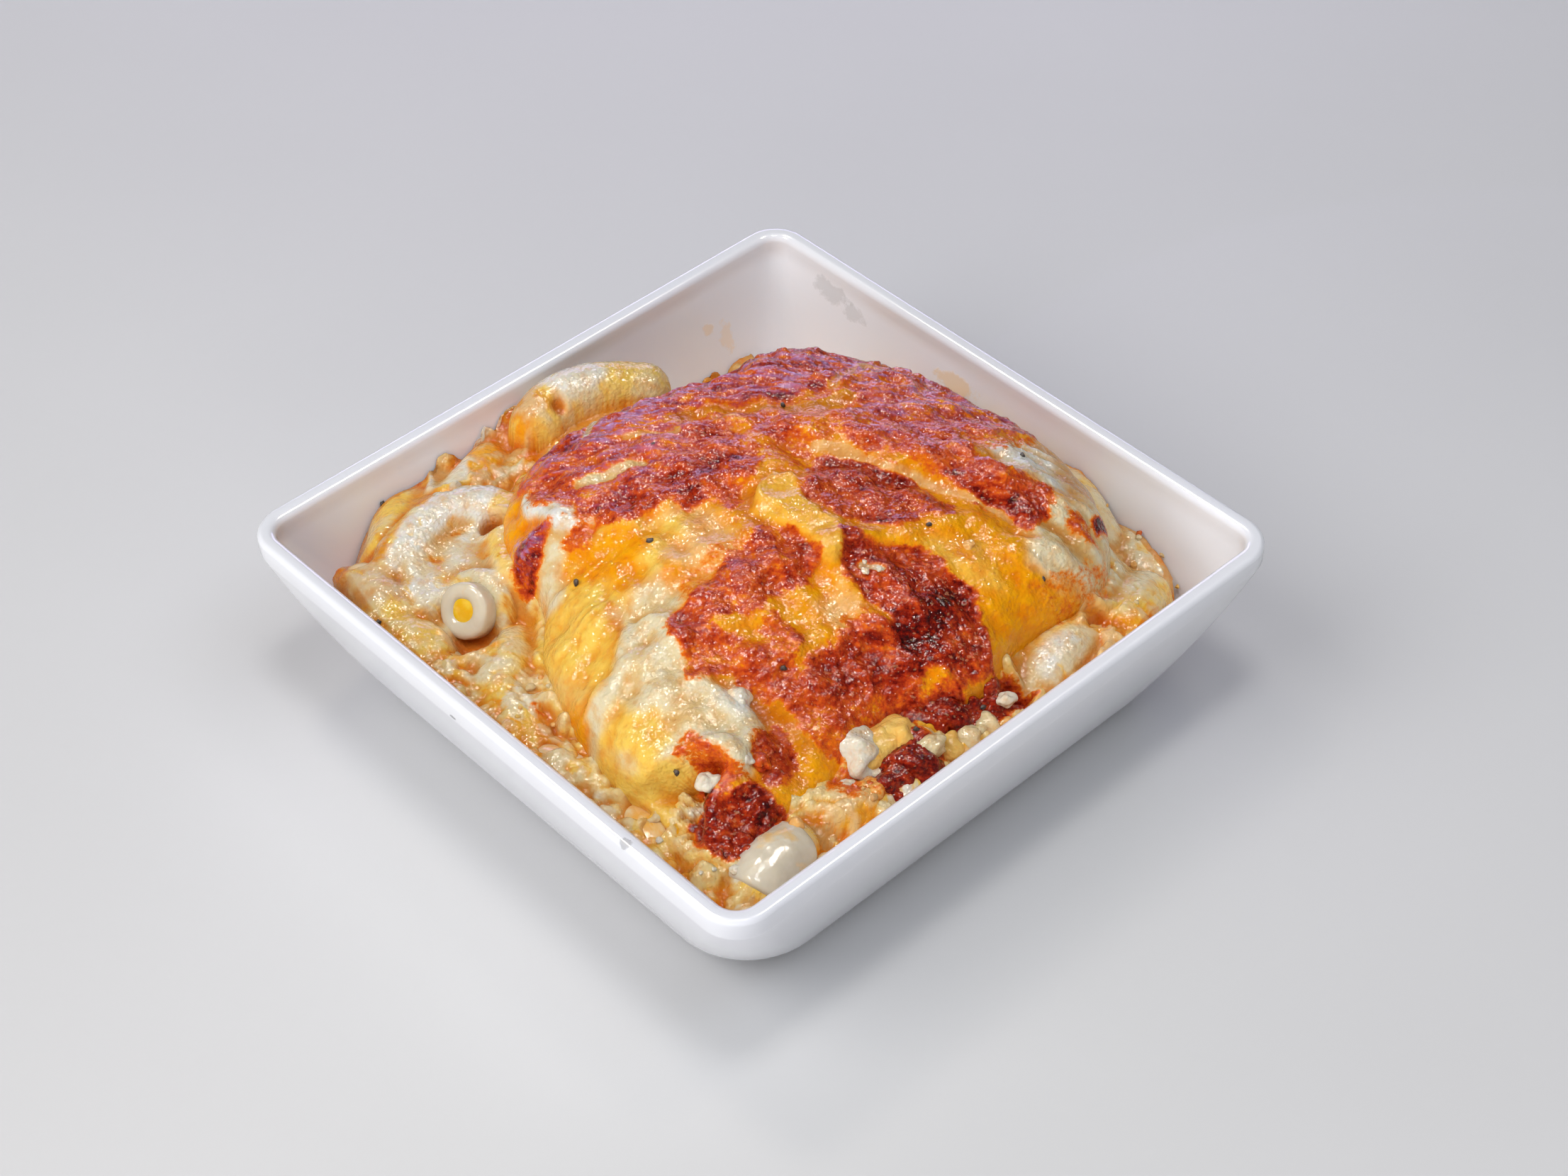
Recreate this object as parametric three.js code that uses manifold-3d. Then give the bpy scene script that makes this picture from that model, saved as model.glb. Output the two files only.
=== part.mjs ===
// Mac and cheese in a square white bowl.
//
// Millimetres, +Z up. The origin is the middle of the bowl's foot, on the surface it stands on.
// The bowl's sides run along X and Y, its front corner points to -X -Y and its back corner to +X +Y.
//
// Two solids: the bowl, and the food in it. The food is a mound of pasta under a browned blanket of
// melted cheese, with the elbows of pasta that show fused on, cut to the hollow of the bowl.

import * as THREE from "three";
import { mergeVertices } from "three/addons/utils/BufferGeometryUtils.js";
import Module from "manifold-3d";

// ---------------------------------------------------------------- driving dimensions

const SIDE = 115; // outer width of the rim
const HEIGHT = 32; // foot to rim
const RIM_CORNER = 6.4; // radius of the rim's corners, seen from above
const CORNER_GROWTH = 0.27; // how fast the corners open out further down
const RIM_WIDTH = 3; // thickness of the wall at the rim
const RIM_OUTER_ROUND = 0.9;
const RIM_INNER_ROUND = 1.3;
const LIP = 3.3; // upright band under the rim
const WALL_ANGLE = THREE.MathUtils.degToRad(75); // slope of the wall under the lip
const WALL_RADIUS = 126; // the wall's own long curve
const WALL_GROWTH = 0.035; // the wall thickens downwards by this much a millimetre
const UNDERCUT = 27.6; // depth under the rim where the wall turns in to the foot
const FOOT_WIDTH = 4; // flat ring that the bowl stands on
const FOOT_RECESS = 0.8; // how far the underside lies above the ring
const FLOOR = 4; // height of the inner floor
const COVE_DEPTH = 23; // depth under the rim where the inner wall turns into the floor

const CLEARANCE = 0.35; // between the food and the bowl

const BED_LEVEL = HEIGHT - 5.5; // pasta at the walls
const CRUST_TOP = HEIGHT + 13; // highest point of the blanket
const CRUST_CENTRE = new THREE.Vector2(-2, -5);

// Reach of the blanket's edge from its centre: [direction in degrees from +X, millimetres].
const CRUST_EDGE = [
  [-176, 43],
  [-163, 48],
  [-152, 52], // white lobe
  [-141, 60], // down into the front corner
  [-129, 50],
  [-107, 38], // bay with the white clump
  [-84, 46], // glossy flap that touches the front right wall
  [-66, 41.5], // bay with the pale pasta
  [-46, 52],
  [-28, 53],
  [-10, 51],
  [8, 49.5],
  [25, 50],
  [44, 50.5], // crest towards the back corner
  [58, 44],
  [70, 42.5],
  [93, 43.5],
  [117, 44.5],
  [137, 41], // dark folded edge
  [149, 36],
  [165, 39],
];

const MOUND_CELLS = 54; // squares of the mound's surface, each way

const PASTA_RADIUS = 4.5; // outside of a cooked elbow
const PASTA_HOLE = 1.9; // radius of its hole
const PASTA_BEND = 12; // radius of its bend
const HOLE_DEPTH = 3.2;

// Elbows that show: middle, heading of the tube in plan, pitch of the tube, turn of the bend about it
// (90 arches it up), and the angle that it bends through.
const ELBOWS = [
  { at: [-37.3, 24.8, 24.8], heading: 228, pitch: 40, twist: 0, bend: 60 }, // its hole looks forward
  { at: [-33, 37, 28.6], heading: 336, pitch: 4, twist: 90, bend: 100 }, // big pale arch
  { at: [-2, 48, 29.5], heading: 354, pitch: 3, twist: 75, bend: 90 }, // along the back left wall
  { at: [17, 46, 25.5], heading: 325, pitch: -4, twist: 60, bend: 60 },
  { at: [-20, 47.5, 27], heading: 20, pitch: 4, twist: 110, bend: 70 },
  { at: [-38, 47.5, 26], heading: 48, pitch: 6, twist: 80, bend: 60 },
  { at: [-47.5, 38, 25.5], heading: 262, pitch: 4, twist: 70, bend: 50 },
  { at: [-48.5, 24.5, 25], heading: 283, pitch: -6, twist: 100, bend: 70 },
  { at: [-42, 10, 25.5], heading: 220, pitch: 5, twist: 75, bend: 60 },
  { at: [-48.5, 0, 25], heading: 75, pitch: 8, twist: 60, bend: 60 },
  { at: [-49.5, -13, 25], heading: 282, pitch: 0, twist: 90, bend: 70 },
  { at: [-49.5, -28, 24.5], heading: 255, pitch: 4, twist: 80, bend: 70 },
  { at: [-50, -42, 25], heading: 300, pitch: 10, twist: 60, bend: 50 },
  { at: [-41, -47.5, 27.5], heading: 10, pitch: 4, twist: 80, bend: 60 }, // pale one, front corner
  { at: [-26, -47.5, 26], heading: 160, pitch: 6, twist: 60, bend: 60 },
  { at: [-12.5, -46.5, 27.5], heading: 30, pitch: 6, twist: 90, bend: 60 },
  { at: [20, -46.5, 27], heading: 8, pitch: 4, twist: 85, bend: 85 }, // pale one, front right
  { at: [35, -46.5, 23.5], heading: 30, pitch: -6, twist: 60, bend: 60 },
];

// Elbows round the back, where the blanket ends short of the walls, spread by a rule.
const BACK_ELBOWS = 8;
const BACK_FROM = -36; // directions between the right corner and the back left wall
const BACK_TO = 62;
const BACK_SEED = 7;

// Relief of the blanket: raised folds (+) and creases (-), as capsules from one point to another.
const FOLDS = [
  { from: [22, 24], to: [31, 27], width: 4, rise: 1 }, // crest
  { from: [5, 18], to: [24, 4], width: 3, rise: -1.8 }, // crease in front of the crest
  { from: [8, 0], to: [25, -30], width: 3, rise: -1.6 }, // crease between the two right flaps
  { from: [12, 3], to: [31, -24], width: 4, rise: 1.2 }, // flap behind it
  { from: [1, -5], to: [0, -18], width: 3.5, rise: 1.3 }, // tongue of yellow cheese
  { from: [-28, -25], to: [-27, -38], width: 3, rise: -1.8 }, // crease beside the white lobe
  { from: [-36, 5], to: [-39, -8], width: 3, rise: -1.4 },
  { from: [-24, 20], to: [-32, 19], width: 3.5, rise: 1.6 }, // folded edge at the left
  { from: [-8, -13], to: [-26, -15], width: 5, rise: 1.2 }, // browned patch
  { from: [0, -24], to: [3, -40], width: 6, rise: 1.2 }, // dark red patch
  { from: [-30, -14], to: [-27, 6], width: 4, rise: -0.9 }, // trough behind the white lobe
  { from: [27, -22], to: [46, -38], width: 4.5, rise: 1.2 }, // cream fold at the right
];

// Rounded swellings of the blanket: middle, half widths and height.
const SWELLINGS = [
  { at: [-39, -20], size: [11, 13], rise: 2.2 }, // white lobe
  { at: [-43, -38], size: [8, 7], rise: 1.4 }, // browned patch in the front corner
  { at: [36, -32], size: [9, 10], rise: 1.6 },
];

// ---------------------------------------------------------------- small helpers

const { degToRad, radToDeg, clamp } = THREE.MathUtils;

function ease(from, to, x) {
  const t = clamp((x - from) / (to - from), 0, 1);
  return t * t * (3 - 2 * t);
}

// A repeatable stream of numbers from 0 to 1.
function randomStream(seed) {
  let state = seed;
  return () => {
    state = (state * 1664525 + 1013904223) % 4294967296;
    return state / 4294967296;
  };
}

function distanceToSegment(x, y, [ax, ay], [bx, by]) {
  const dx = bx - ax;
  const dy = by - ay;
  const t = clamp(((x - ax) * dx + (y - ay) * dy) / (dx * dx + dy * dy), 0, 1);
  return Math.hypot(x - ax - t * dx, y - ay - t * dy);
}

// ---------------------------------------------------------------- closed skins over rings

// A ring of a rounded square: half width, corner radius and height.
const CORNER_STEPS = 6;
const RING = 4 * (CORNER_STEPS + 1);

function roundedSquare(half, corner, z) {
  const points = [];
  const middle = half - corner;
  for (let quarter = 0; quarter < 4; quarter++) {
    const start = (quarter * Math.PI) / 2;
    const cx = middle * Math.SQRT2 * Math.cos(start + Math.PI / 4);
    const cy = middle * Math.SQRT2 * Math.sin(start + Math.PI / 4);
    for (let step = 0; step <= CORNER_STEPS; step++) {
      const a = start + (step / CORNER_STEPS) * (Math.PI / 2);
      points.push([cx + corner * Math.cos(a), cy + corner * Math.sin(a), z]);
    }
  }
  return points;
}

// Skins rings of equal length from a first pole to a last pole. Rings run anticlockwise from above, and
// the skin faces outwards when the rings climb.
function skin(firstPole, rings, lastPole) {
  const count = rings[0].length;
  const positions = [firstPole, ...rings.flat(), lastPole];
  const last = positions.length - 1;
  const index = [];
  const at = (ring, k) => 1 + ring * count + (k % count);
  for (let k = 0; k < count; k++) {
    index.push(0, at(0, k + 1), at(0, k));
    index.push(last, at(rings.length - 1, k), at(rings.length - 1, k + 1));
    for (let ring = 0; ring + 1 < rings.length; ring++) {
      index.push(at(ring, k), at(ring, k + 1), at(ring + 1, k + 1));
      index.push(at(ring, k), at(ring + 1, k + 1), at(ring + 1, k));
    }
  }
  const geometry = new THREE.BufferGeometry();
  geometry.setAttribute("position", new THREE.Float32BufferAttribute(positions.flat(), 3));
  geometry.setIndex(index);
  return geometry;
}

// ---------------------------------------------------------------- joining and cutting

const wasm = await Module();
wasm.setup();

function toSolid(geometry) {
  const bare = geometry.clone();
  bare.deleteAttribute("normal");
  bare.deleteAttribute("uv");
  const merged = mergeVertices(bare, 1e-4);
  return new wasm.Manifold(
    new wasm.Mesh({
      numProp: 3,
      vertProperties: new Float32Array(merged.attributes.position.array),
      triVerts: new Uint32Array(merged.index.array),
    }),
  );
}

function toGeometry(solid) {
  const mesh = solid.getMesh();
  const geometry = new THREE.BufferGeometry();
  geometry.setAttribute("position", new THREE.BufferAttribute(new Float32Array(mesh.vertProperties), 3));
  geometry.setIndex(new THREE.BufferAttribute(new Uint32Array(mesh.triVerts), 1));
  const flat = geometry.toNonIndexed();
  flat.computeVertexNormals();
  return flat;
}

// ---------------------------------------------------------------- bowl

// How far the outer wall has come in at a depth under the rim.
function wallInset(depth) {
  if (depth <= LIP) return 0;
  const slope = Math.acos(Math.cos(WALL_ANGLE) + (depth - LIP) / WALL_RADIUS);
  return WALL_RADIUS * (Math.sin(WALL_ANGLE) - Math.sin(slope));
}

function wallSlope(depth) {
  return Math.acos(Math.cos(WALL_ANGLE) + Math.max(depth - LIP, 0) / WALL_RADIUS);
}

function cornerAt(depth) {
  return RIM_CORNER + CORNER_GROWTH * Math.max(depth - LIP, 0);
}

function outerRing(inset, depth) {
  return roundedSquare(SIDE / 2 - inset, cornerAt(depth), HEIGHT - depth);
}

// Inner wall, set in by a gap that is 0 for the bowl and CLEARANCE for the food.
function innerRing(depth, gap, extraInset = 0) {
  const thickness = RIM_WIDTH + WALL_GROWTH * depth;
  const inset = wallInset(depth) + thickness + gap + extraInset;
  const corner = Math.max(cornerAt(depth) - thickness - gap, 2);
  return roundedSquare(SIDE / 2 - inset, corner, HEIGHT - depth);
}

// Rings of the cove between the inner wall and the floor: a quarter turn of an ellipse.
function coveRings(gap) {
  const drop = HEIGHT - COVE_DEPTH - FLOOR - gap;
  const run = drop * 1.3;
  const rings = [];
  const steps = 5;
  for (let step = steps; step >= 1; step--) {
    const a = ((step / steps) * Math.PI) / 2;
    const depth = COVE_DEPTH + drop * Math.sin(a);
    const base = innerRing(COVE_DEPTH, gap, run * (1 - Math.cos(a)));
    rings.push(base.map(([x, y]) => [x, y, HEIGHT - depth]));
  }
  return rings;
}

function innerRings(gap, topDepth) {
  const rings = coveRings(gap);
  const steps = 5;
  for (let step = 0; step <= steps; step++) {
    rings.push(innerRing(COVE_DEPTH + ((topDepth - COVE_DEPTH) * step) / steps, gap));
  }
  return rings;
}

function bowlGeometry() {
  const rings = [];
  // underside, foot ring and the turn up into the wall
  const turn = wallSlope(UNDERCUT);
  const round = (HEIGHT - UNDERCUT) / (1 - Math.cos(turn));
  const footInset = wallInset(UNDERCUT) + round * Math.sin(turn);
  const footHalf = SIDE / 2 - footInset;
  const footCorner = cornerAt(HEIGHT);
  rings.push(roundedSquare(footHalf - FOOT_WIDTH - FOOT_RECESS, footCorner - FOOT_WIDTH, FOOT_RECESS));
  rings.push(roundedSquare(footHalf - FOOT_WIDTH, footCorner - FOOT_WIDTH, 0));
  const turnSteps = 5;
  for (let step = 0; step <= turnSteps; step++) {
    const a = (turn * step) / turnSteps;
    rings.push(outerRing(footInset - round * Math.sin(a), HEIGHT - round * (1 - Math.cos(a))));
  }
  // outer wall
  const wallSteps = 6;
  for (let step = 1; step <= wallSteps; step++) {
    const depth = UNDERCUT + ((LIP - UNDERCUT) * step) / wallSteps;
    rings.push(outerRing(wallInset(depth), depth));
  }
  // rim: outer round, flat, inner round
  const roundSteps = 3;
  for (let step = 0; step <= roundSteps; step++) {
    const a = ((step / roundSteps) * Math.PI) / 2;
    const inset = RIM_OUTER_ROUND * (1 - Math.cos(a));
    const depth = RIM_OUTER_ROUND * (1 - Math.sin(a));
    rings.push(roundedSquare(SIDE / 2 - inset, RIM_CORNER - inset, HEIGHT - depth));
  }
  for (let step = roundSteps; step >= 1; step--) {
    const a = ((step / roundSteps) * Math.PI) / 2;
    const inset = RIM_WIDTH - RIM_INNER_ROUND * (1 - Math.cos(a));
    const depth = RIM_INNER_ROUND * (1 - Math.sin(a));
    rings.push(roundedSquare(SIDE / 2 - inset, RIM_CORNER - inset, HEIGHT - depth));
  }
  // inner wall and cove
  rings.push(...innerRings(0, RIM_INNER_ROUND).reverse());
  return skin([0, 0, FOOT_RECESS], rings, [0, 0, FLOOR]);
}

// The hollow of the bowl less the clearance, carried straight up past the food.
function hollowSolid() {
  const rings = innerRings(CLEARANCE, RIM_INNER_ROUND);
  const mouth = rings[rings.length - 1];
  const above = CRUST_TOP + 10;
  rings.push(mouth.map(([x, y]) => [x, y, above]));
  return toSolid(skin([0, 0, FLOOR + CLEARANCE], rings, [0, 0, above]));
}

// ---------------------------------------------------------------- mound of pasta and cheese

// The pasta under the blanket: level, lower in the three far corners, higher along the back left wall.
function bedHeight(x, y) {
  const toLeft = (y - x) / Math.SQRT2;
  const toRight = (x - y) / Math.SQRT2;
  const toBack = (x + y) / Math.SQRT2;
  const corners = 12 * ease(60, 72, toLeft) + 14 * ease(54, 72, toRight) + 14 * ease(40, 70, toBack);
  const bank = 3 * ease(38, 50, y) * ease(-48, -38, x) * ease(20, 5, x);
  return BED_LEVEL - corners + bank;
}

// The reach of the blanket in a direction: a smooth closed cubic through the named directions.
function crustReach(degrees) {
  const count = CRUST_EDGE.length;
  const knot = (i) => {
    const turns = Math.floor(i / count);
    const [angle, reach] = CRUST_EDGE[i - turns * count];
    return { angle: angle + 360 * turns, reach };
  };
  const slope = (i) => (knot(i + 1).reach - knot(i - 1).reach) / (knot(i + 1).angle - knot(i - 1).angle);
  const d = degrees < CRUST_EDGE[0][0] ? degrees + 360 : degrees;
  let i = 0;
  while (knot(i + 1).angle <= d) i++;
  const span = knot(i + 1).angle - knot(i).angle;
  const t = (d - knot(i).angle) / span;
  const rise = t * t * (3 - 2 * t);
  return (
    knot(i).reach * (1 - rise) +
    knot(i + 1).reach * rise +
    span * (slope(i) * t * (1 - t) ** 2 - slope(i + 1) * t * t * (1 - t))
  );
}

// The blanket's crown: highest behind the middle, falling away to the front corner and to the left.
function crustCrown(x, y) {
  const along = (x + y) / Math.SQRT2 - 15;
  const across = (x - y) / Math.SQRT2;
  return CRUST_TOP - 13 * (along / (along < 0 ? 77 : 60)) ** 2 - (across < 0 ? 5 : 2) * (across / 45) ** 2;
}

function crustRelief(x, y) {
  let z = 0;
  for (const fold of FOLDS) {
    z += fold.rise * Math.exp(-((distanceToSegment(x, y, fold.from, fold.to) / fold.width) ** 2));
  }
  for (const { at, size, rise } of SWELLINGS) {
    z += rise * Math.exp(-(((x - at[0]) / size[0]) ** 2) - ((y - at[1]) / size[1]) ** 2);
  }
  return z;
}

// The crags of the browned cheese: three crossing waves of unequal length.
function crags(x, y) {
  return (
    0.6 * Math.sin(0.55 * x + 0.21 * y + 1.3) * Math.sin(0.33 * y - 0.42 * x) +
    0.35 * Math.sin(0.9 * y + 0.35 * x + 0.6)
  );
}

// Lumps of pasta width in the bed, where no whole elbow is fused on.
function bedLumps(x, y) {
  const wave = (2 * Math.PI) / (2.6 * PASTA_RADIUS);
  return 1.1 * Math.sin(wave * x + 0.8 * Math.sin(0.2 * y)) * Math.sin(wave * y + 0.9 * Math.sin(0.17 * x));
}

function moundHeight(x, y) {
  const dx = x - CRUST_CENTRE.x;
  const dy = y - CRUST_CENTRE.y;
  const share = Math.hypot(dx, dy) / crustReach(radToDeg(Math.atan2(dy, dx)));
  const bed = bedHeight(x, y);
  // the edge is a superellipse: a fuller shoulder at the back than at the front
  const power = 2.6 - 0.3 * ease(0, -30, (x + y) / Math.SQRT2);
  const cover = (1 - Math.min(share, 1) ** power) ** (1 / power);
  const crust = Math.max(crustCrown(x, y) + crustRelief(x, y) + crags(x, y) - bed, 0);
  return bed + cover * crust + (1 - cover) * bedLumps(x, y);
}

// A block as wide as the rim whose top is the mound.
function moundSolid() {
  const block = new THREE.BoxGeometry(SIDE, SIDE, HEIGHT, MOUND_CELLS, MOUND_CELLS, 1);
  block.translate(0, 0, HEIGHT / 2);
  const position = block.attributes.position;
  for (let i = 0; i < position.count; i++) {
    if (position.getZ(i) > HEIGHT / 2) position.setZ(i, moundHeight(position.getX(i), position.getY(i)));
  }
  return toSolid(block);
}

// ---------------------------------------------------------------- elbows of pasta

const PASTA_SIDES = 9;

// A solid elbow with a blind hole in each end, its middle at the origin and its tube along +X there.
function elbowSolid(bendDegrees) {
  const half = degToRad(bendDegrees) / 2;
  const arc = new THREE.CatmullRomCurve3(
    Array.from({ length: 9 }, (_, k) => {
      const a = -half + (half * k) / 4;
      return new THREE.Vector3(PASTA_BEND * Math.sin(a), PASTA_BEND * (Math.cos(a) - 1), 0);
    }),
  );
  const section = new THREE.Shape(
    Array.from({ length: PASTA_SIDES }, (_, k) => {
      const a = (2 * Math.PI * k) / PASTA_SIDES;
      return new THREE.Vector2(PASTA_RADIUS * Math.cos(a), PASTA_RADIUS * Math.sin(a));
    }),
  );
  const tube = new THREE.ExtrudeGeometry(section, { steps: 5, bevelEnabled: false, extrudePath: arc });
  let solid = toSolid(tube);
  if (solid.volume() < 0) throw new Error("elbow is inside out");
  for (const end of [-1, 1]) {
    const hole = new THREE.CylinderGeometry(PASTA_HOLE, PASTA_HOLE, 2 * HOLE_DEPTH, 7);
    hole.rotateZ(Math.PI / 2 - end * half);
    hole.translate(PASTA_BEND * Math.sin(end * half), PASTA_BEND * (Math.cos(half) - 1), 0);
    solid = solid.subtract(toSolid(hole));
  }
  return solid;
}

function placedElbow({ at, heading, pitch, twist, bend }) {
  const matrix = new THREE.Matrix4()
    .makeTranslation(...at)
    .multiply(new THREE.Matrix4().makeRotationZ(degToRad(heading)))
    .multiply(new THREE.Matrix4().makeRotationY(degToRad(-pitch)))
    .multiply(new THREE.Matrix4().makeRotationX(degToRad(twist)));
  return elbowSolid(bend).transform(matrix.elements);
}

// Round the back the elbows lie in the trough between the blanket and the walls.
function backElbows() {
  const random = randomStream(BACK_SEED);
  const reachOfWall = SIDE / 2 - RIM_WIDTH - wallInset(HEIGHT - BED_LEVEL) - 1.1 * PASTA_RADIUS;
  return Array.from({ length: BACK_ELBOWS }, (_, k) => {
    const a = degToRad(BACK_FROM + ((BACK_TO - BACK_FROM) * k) / (BACK_ELBOWS - 1));
    const stretch = 1 / Math.max(Math.abs(Math.cos(a)), Math.abs(Math.sin(a)), 0.78);
    const x = reachOfWall * stretch * Math.cos(a);
    const y = reachOfWall * stretch * Math.sin(a);
    return {
      at: [x, y, bedHeight(x, y) - 1.5 + 1.5 * random()],
      heading: radToDeg(a) + 90 + 50 * (random() - 0.5),
      pitch: 16 * (random() - 0.5),
      twist: 60 + 60 * random(),
      bend: 50 + 30 * random(),
    };
  });
}

function foodGeometry() {
  let food = moundSolid();
  for (const elbow of [...ELBOWS, ...backElbows()]) food = food.add(placedElbow(elbow));
  food = food.intersect(hollowSolid());
  const bodies = food.decompose().sort((a, b) => b.volume() - a.volume());
  return toGeometry(bodies[0]);
}

// ---------------------------------------------------------------- materials and scene graph

function finish(color, roughness) {
  return new THREE.MeshStandardMaterial({ color, roughness, metalness: 0, flatShading: true });
}

const group = new THREE.Group();

const bowl = new THREE.Mesh(bowlGeometry(), finish(0xeceaf0, 0.25));
bowl.name = "bowl";
group.add(bowl);

const food = new THREE.Mesh(foodGeometry(), finish(0xd98a2b, 0.4));
food.name = "macaroni_cheese";
group.add(food);

export default group;
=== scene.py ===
"""Macaroni and cheese under a browned blanket of melted cheese, in a square white bowl.

Lengths in this file are millimetres unless a name says otherwise. A mesh is scaled to metres when it is made.
"""

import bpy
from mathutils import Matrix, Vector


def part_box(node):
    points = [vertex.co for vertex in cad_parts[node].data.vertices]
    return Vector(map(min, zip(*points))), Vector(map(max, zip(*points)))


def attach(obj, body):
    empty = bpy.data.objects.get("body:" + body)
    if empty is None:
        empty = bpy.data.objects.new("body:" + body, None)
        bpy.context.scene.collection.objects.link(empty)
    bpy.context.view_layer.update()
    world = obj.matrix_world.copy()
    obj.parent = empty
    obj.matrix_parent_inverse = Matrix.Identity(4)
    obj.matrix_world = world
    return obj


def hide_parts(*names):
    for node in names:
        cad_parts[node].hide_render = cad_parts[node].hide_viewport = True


bl_info = {
    "name": "Mac and cheese",
    "version": (1, 0, 0),
    "blender": (4, 5, 0),
    "location": "View3D > Sidebar > Mac and cheese",
    "description": "Makes a square bowl of macaroni and cheese",
    "category": "Add Mesh",
}

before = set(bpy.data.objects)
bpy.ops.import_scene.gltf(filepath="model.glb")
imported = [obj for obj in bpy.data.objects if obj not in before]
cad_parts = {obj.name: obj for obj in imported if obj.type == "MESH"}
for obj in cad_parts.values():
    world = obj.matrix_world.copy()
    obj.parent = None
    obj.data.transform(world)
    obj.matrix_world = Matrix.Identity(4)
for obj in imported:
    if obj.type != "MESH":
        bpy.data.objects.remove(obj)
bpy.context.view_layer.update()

import math

import bpy
import numpy as np
from bpy.props import FloatProperty, FloatVectorProperty, IntProperty, PointerProperty
from mathutils import Matrix, Vector

MM = 0.001

# ------------------------------------------------------------------ sizes of the solids

LIP = 3.3  # upright band under the rim
WALL_ANGLE = math.radians(75)  # slope of the wall under the lip
WALL_RADIUS = 126.0  # the wall's own long curve
WALL_GROWTH = 0.035  # the wall thickens downwards by this much a millimetre
CORNER_GROWTH = 0.27  # how fast the corners open out further down
RIM_OUTER_ROUND = 0.9
RIM_INNER_ROUND = 1.3
UNDERCUT = 27.6  # depth under the rim where the wall turns in to the foot
FOOT_WIDTH = 4.0
FOOT_RECESS = 0.8
FLOOR_LEVEL = 4.0
COVE_DEPTH = 23.0  # depth under the rim where the inner wall turns into the floor
COVE_RUN = 1.3  # how far it runs in for each millimetre it drops
CLEARANCE = 0.35  # between the food and the bowl
BED_DROP = 5.5  # flat level of the pasta under the rim
BED_LEAST = 12.0  # the pasta's surface is kept about this high over the table
BED_SKIRT = 7.0  # depth of the bed's hidden edges
EDGE_LENGTH = 45.0  # millimetres past the blanket's edge where its share has grown by 1

CRUST_CENTRE = np.array([-2.0, -5.0])

# Reach of the blanket's edge from its centre: direction in degrees from +X, millimetres.
CRUST_EDGE = np.array([
    (-176, 43), (-163, 48), (-152, 52), (-141, 60), (-129, 50), (-107, 38), (-84, 42),
    (-66, 41.5), (-46, 52), (-28, 53), (-10, 51), (8, 49.5), (25, 50), (44, 50.5),
    (58, 44), (70, 42.5), (93, 43.5), (117, 44.5), (137, 41), (149, 36), (165, 39),
])

# Raised folds (+) and creases (-) of the blanket: from, to, width, rise.
FOLDS = [
    ((22, 24), (31, 27), 4, 1), ((5, 18), (24, 4), 3, -1.8), ((8, 0), (25, -30), 3, -1.6),
    ((12, 3), (31, -24), 4, 1.2), ((1, -5), (0, -18), 3.5, 1.3),
    ((-28, -25), (-27, -38), 3, -1.8), ((-36, 5), (-39, -8), 3, -1.4),
    ((-24, 20), (-32, 19), 3.5, 1.6), ((-8, -13), (-26, -15), 5, 1.2),
    ((0, -24), (3, -40), 6, 1.2), ((-30, -14), (-27, 6), 4, -0.9), ((27, -22), (46, -38), 4.5, 1.2),
]

# Rounded swellings of the blanket: middle, half widths, rise.
SWELLINGS = [((-39, -20), (11, 13), 2.2), ((-43, -38), (8, 7), 1.4), ((36, -32), (9, 10), 1.6)]

PASTA_RADIUS = 4.5
PASTA_HOLE = 1.9
PASTA_BEND = 12.0

# Elbows that show: middle, heading, pitch, turn of the bend about the tube, angle of the bend, look.
ELBOWS = [
    ((-37.0, 24.6, 23.2), 228, 42, 0, 60, "pale"),
    ((-32.5, 36.5, 20), 336, 4, 90, 60, "coated"),
    ((5.5, 44.2, 24.2), 343, 0, 80, 60, "coated"),
    ((-20, 47, 22.6), 20, 4, 110, 70, "coated"),
    ((-36, 46.5, 21.6), 48, 6, 80, 60, "coated"),
    ((-47.5, 36.5, 23.6), 262, 4, 70, 50, "coated"),
    ((-49.5, 24.5, 22.4), 275, -4, 100, 60, "coated"),
    ((-43, 10, 23.2), 220, 5, 75, 60, "coated"),
    ((-48.5, 0, 22.5), 75, 8, 60, 60, "coated"),
    ((-49.5, -13, 22.5), 282, 0, 90, 70, "coated"),
    ((-49.5, -30, 22.0), 255, 4, 80, 70, "coated"),
    ((-41.5, -48, 26.3), 10, 4, 80, 42, "pale"),
    ((-26, -47.5, 24), 160, 6, 60, 60, "coated"),
    ((-12.5, -46.5, 25), 30, 6, 90, 60, "coated"),
    ((20, -46, 23.2), 12, 2, 85, 80, "coated"),
    ((36, -46, 21.5), 30, -6, 60, 60, "coated"),
]
BACK_ELBOWS = 8
BACK_FROM, BACK_TO = -36, 46  # degrees from +X
BACK_SINK = 6.8  # middle of a back elbow under the bed's level
BACK_LEAST = 14.0  # no elbow lies lower, in the emptied back corner
BACK_SEED = 7
WORD = 2 ** 32  # whole numbers in the random rules are kept under this

# ------------------------------------------------------------------ colours (8-bit sRGB)

CHEESE = {
    "cheddar": (228, 149, 4),
    "amber": (208, 128, 12),
    "gold": (228, 182, 76),
    "butter": (226, 182, 96),
    "honey": (228, 164, 52),
    "peach": (224, 168, 98),
    "apricot": (222, 182, 118),
    "cream": (212, 191, 148),
    "milk": (215, 205, 185),
    "tan": (204, 160, 106),
}

HONEY_POOL = [
    (1.8, -2.1), (3.5, -4.5), (1, -9.3), (0.8, -13.7), (2.3, -16.2), (-0.2, -19.5), (-1.4, -20.8),
    (-3.6, -21.1), (-4.5, -19.2), (-3.9, -16.6), (-3.8, -13.7), (-5.2, -11.7), (-6.3, -8.6),
    (-6.1, -5.7), (-2.6, -3.3)]

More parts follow.
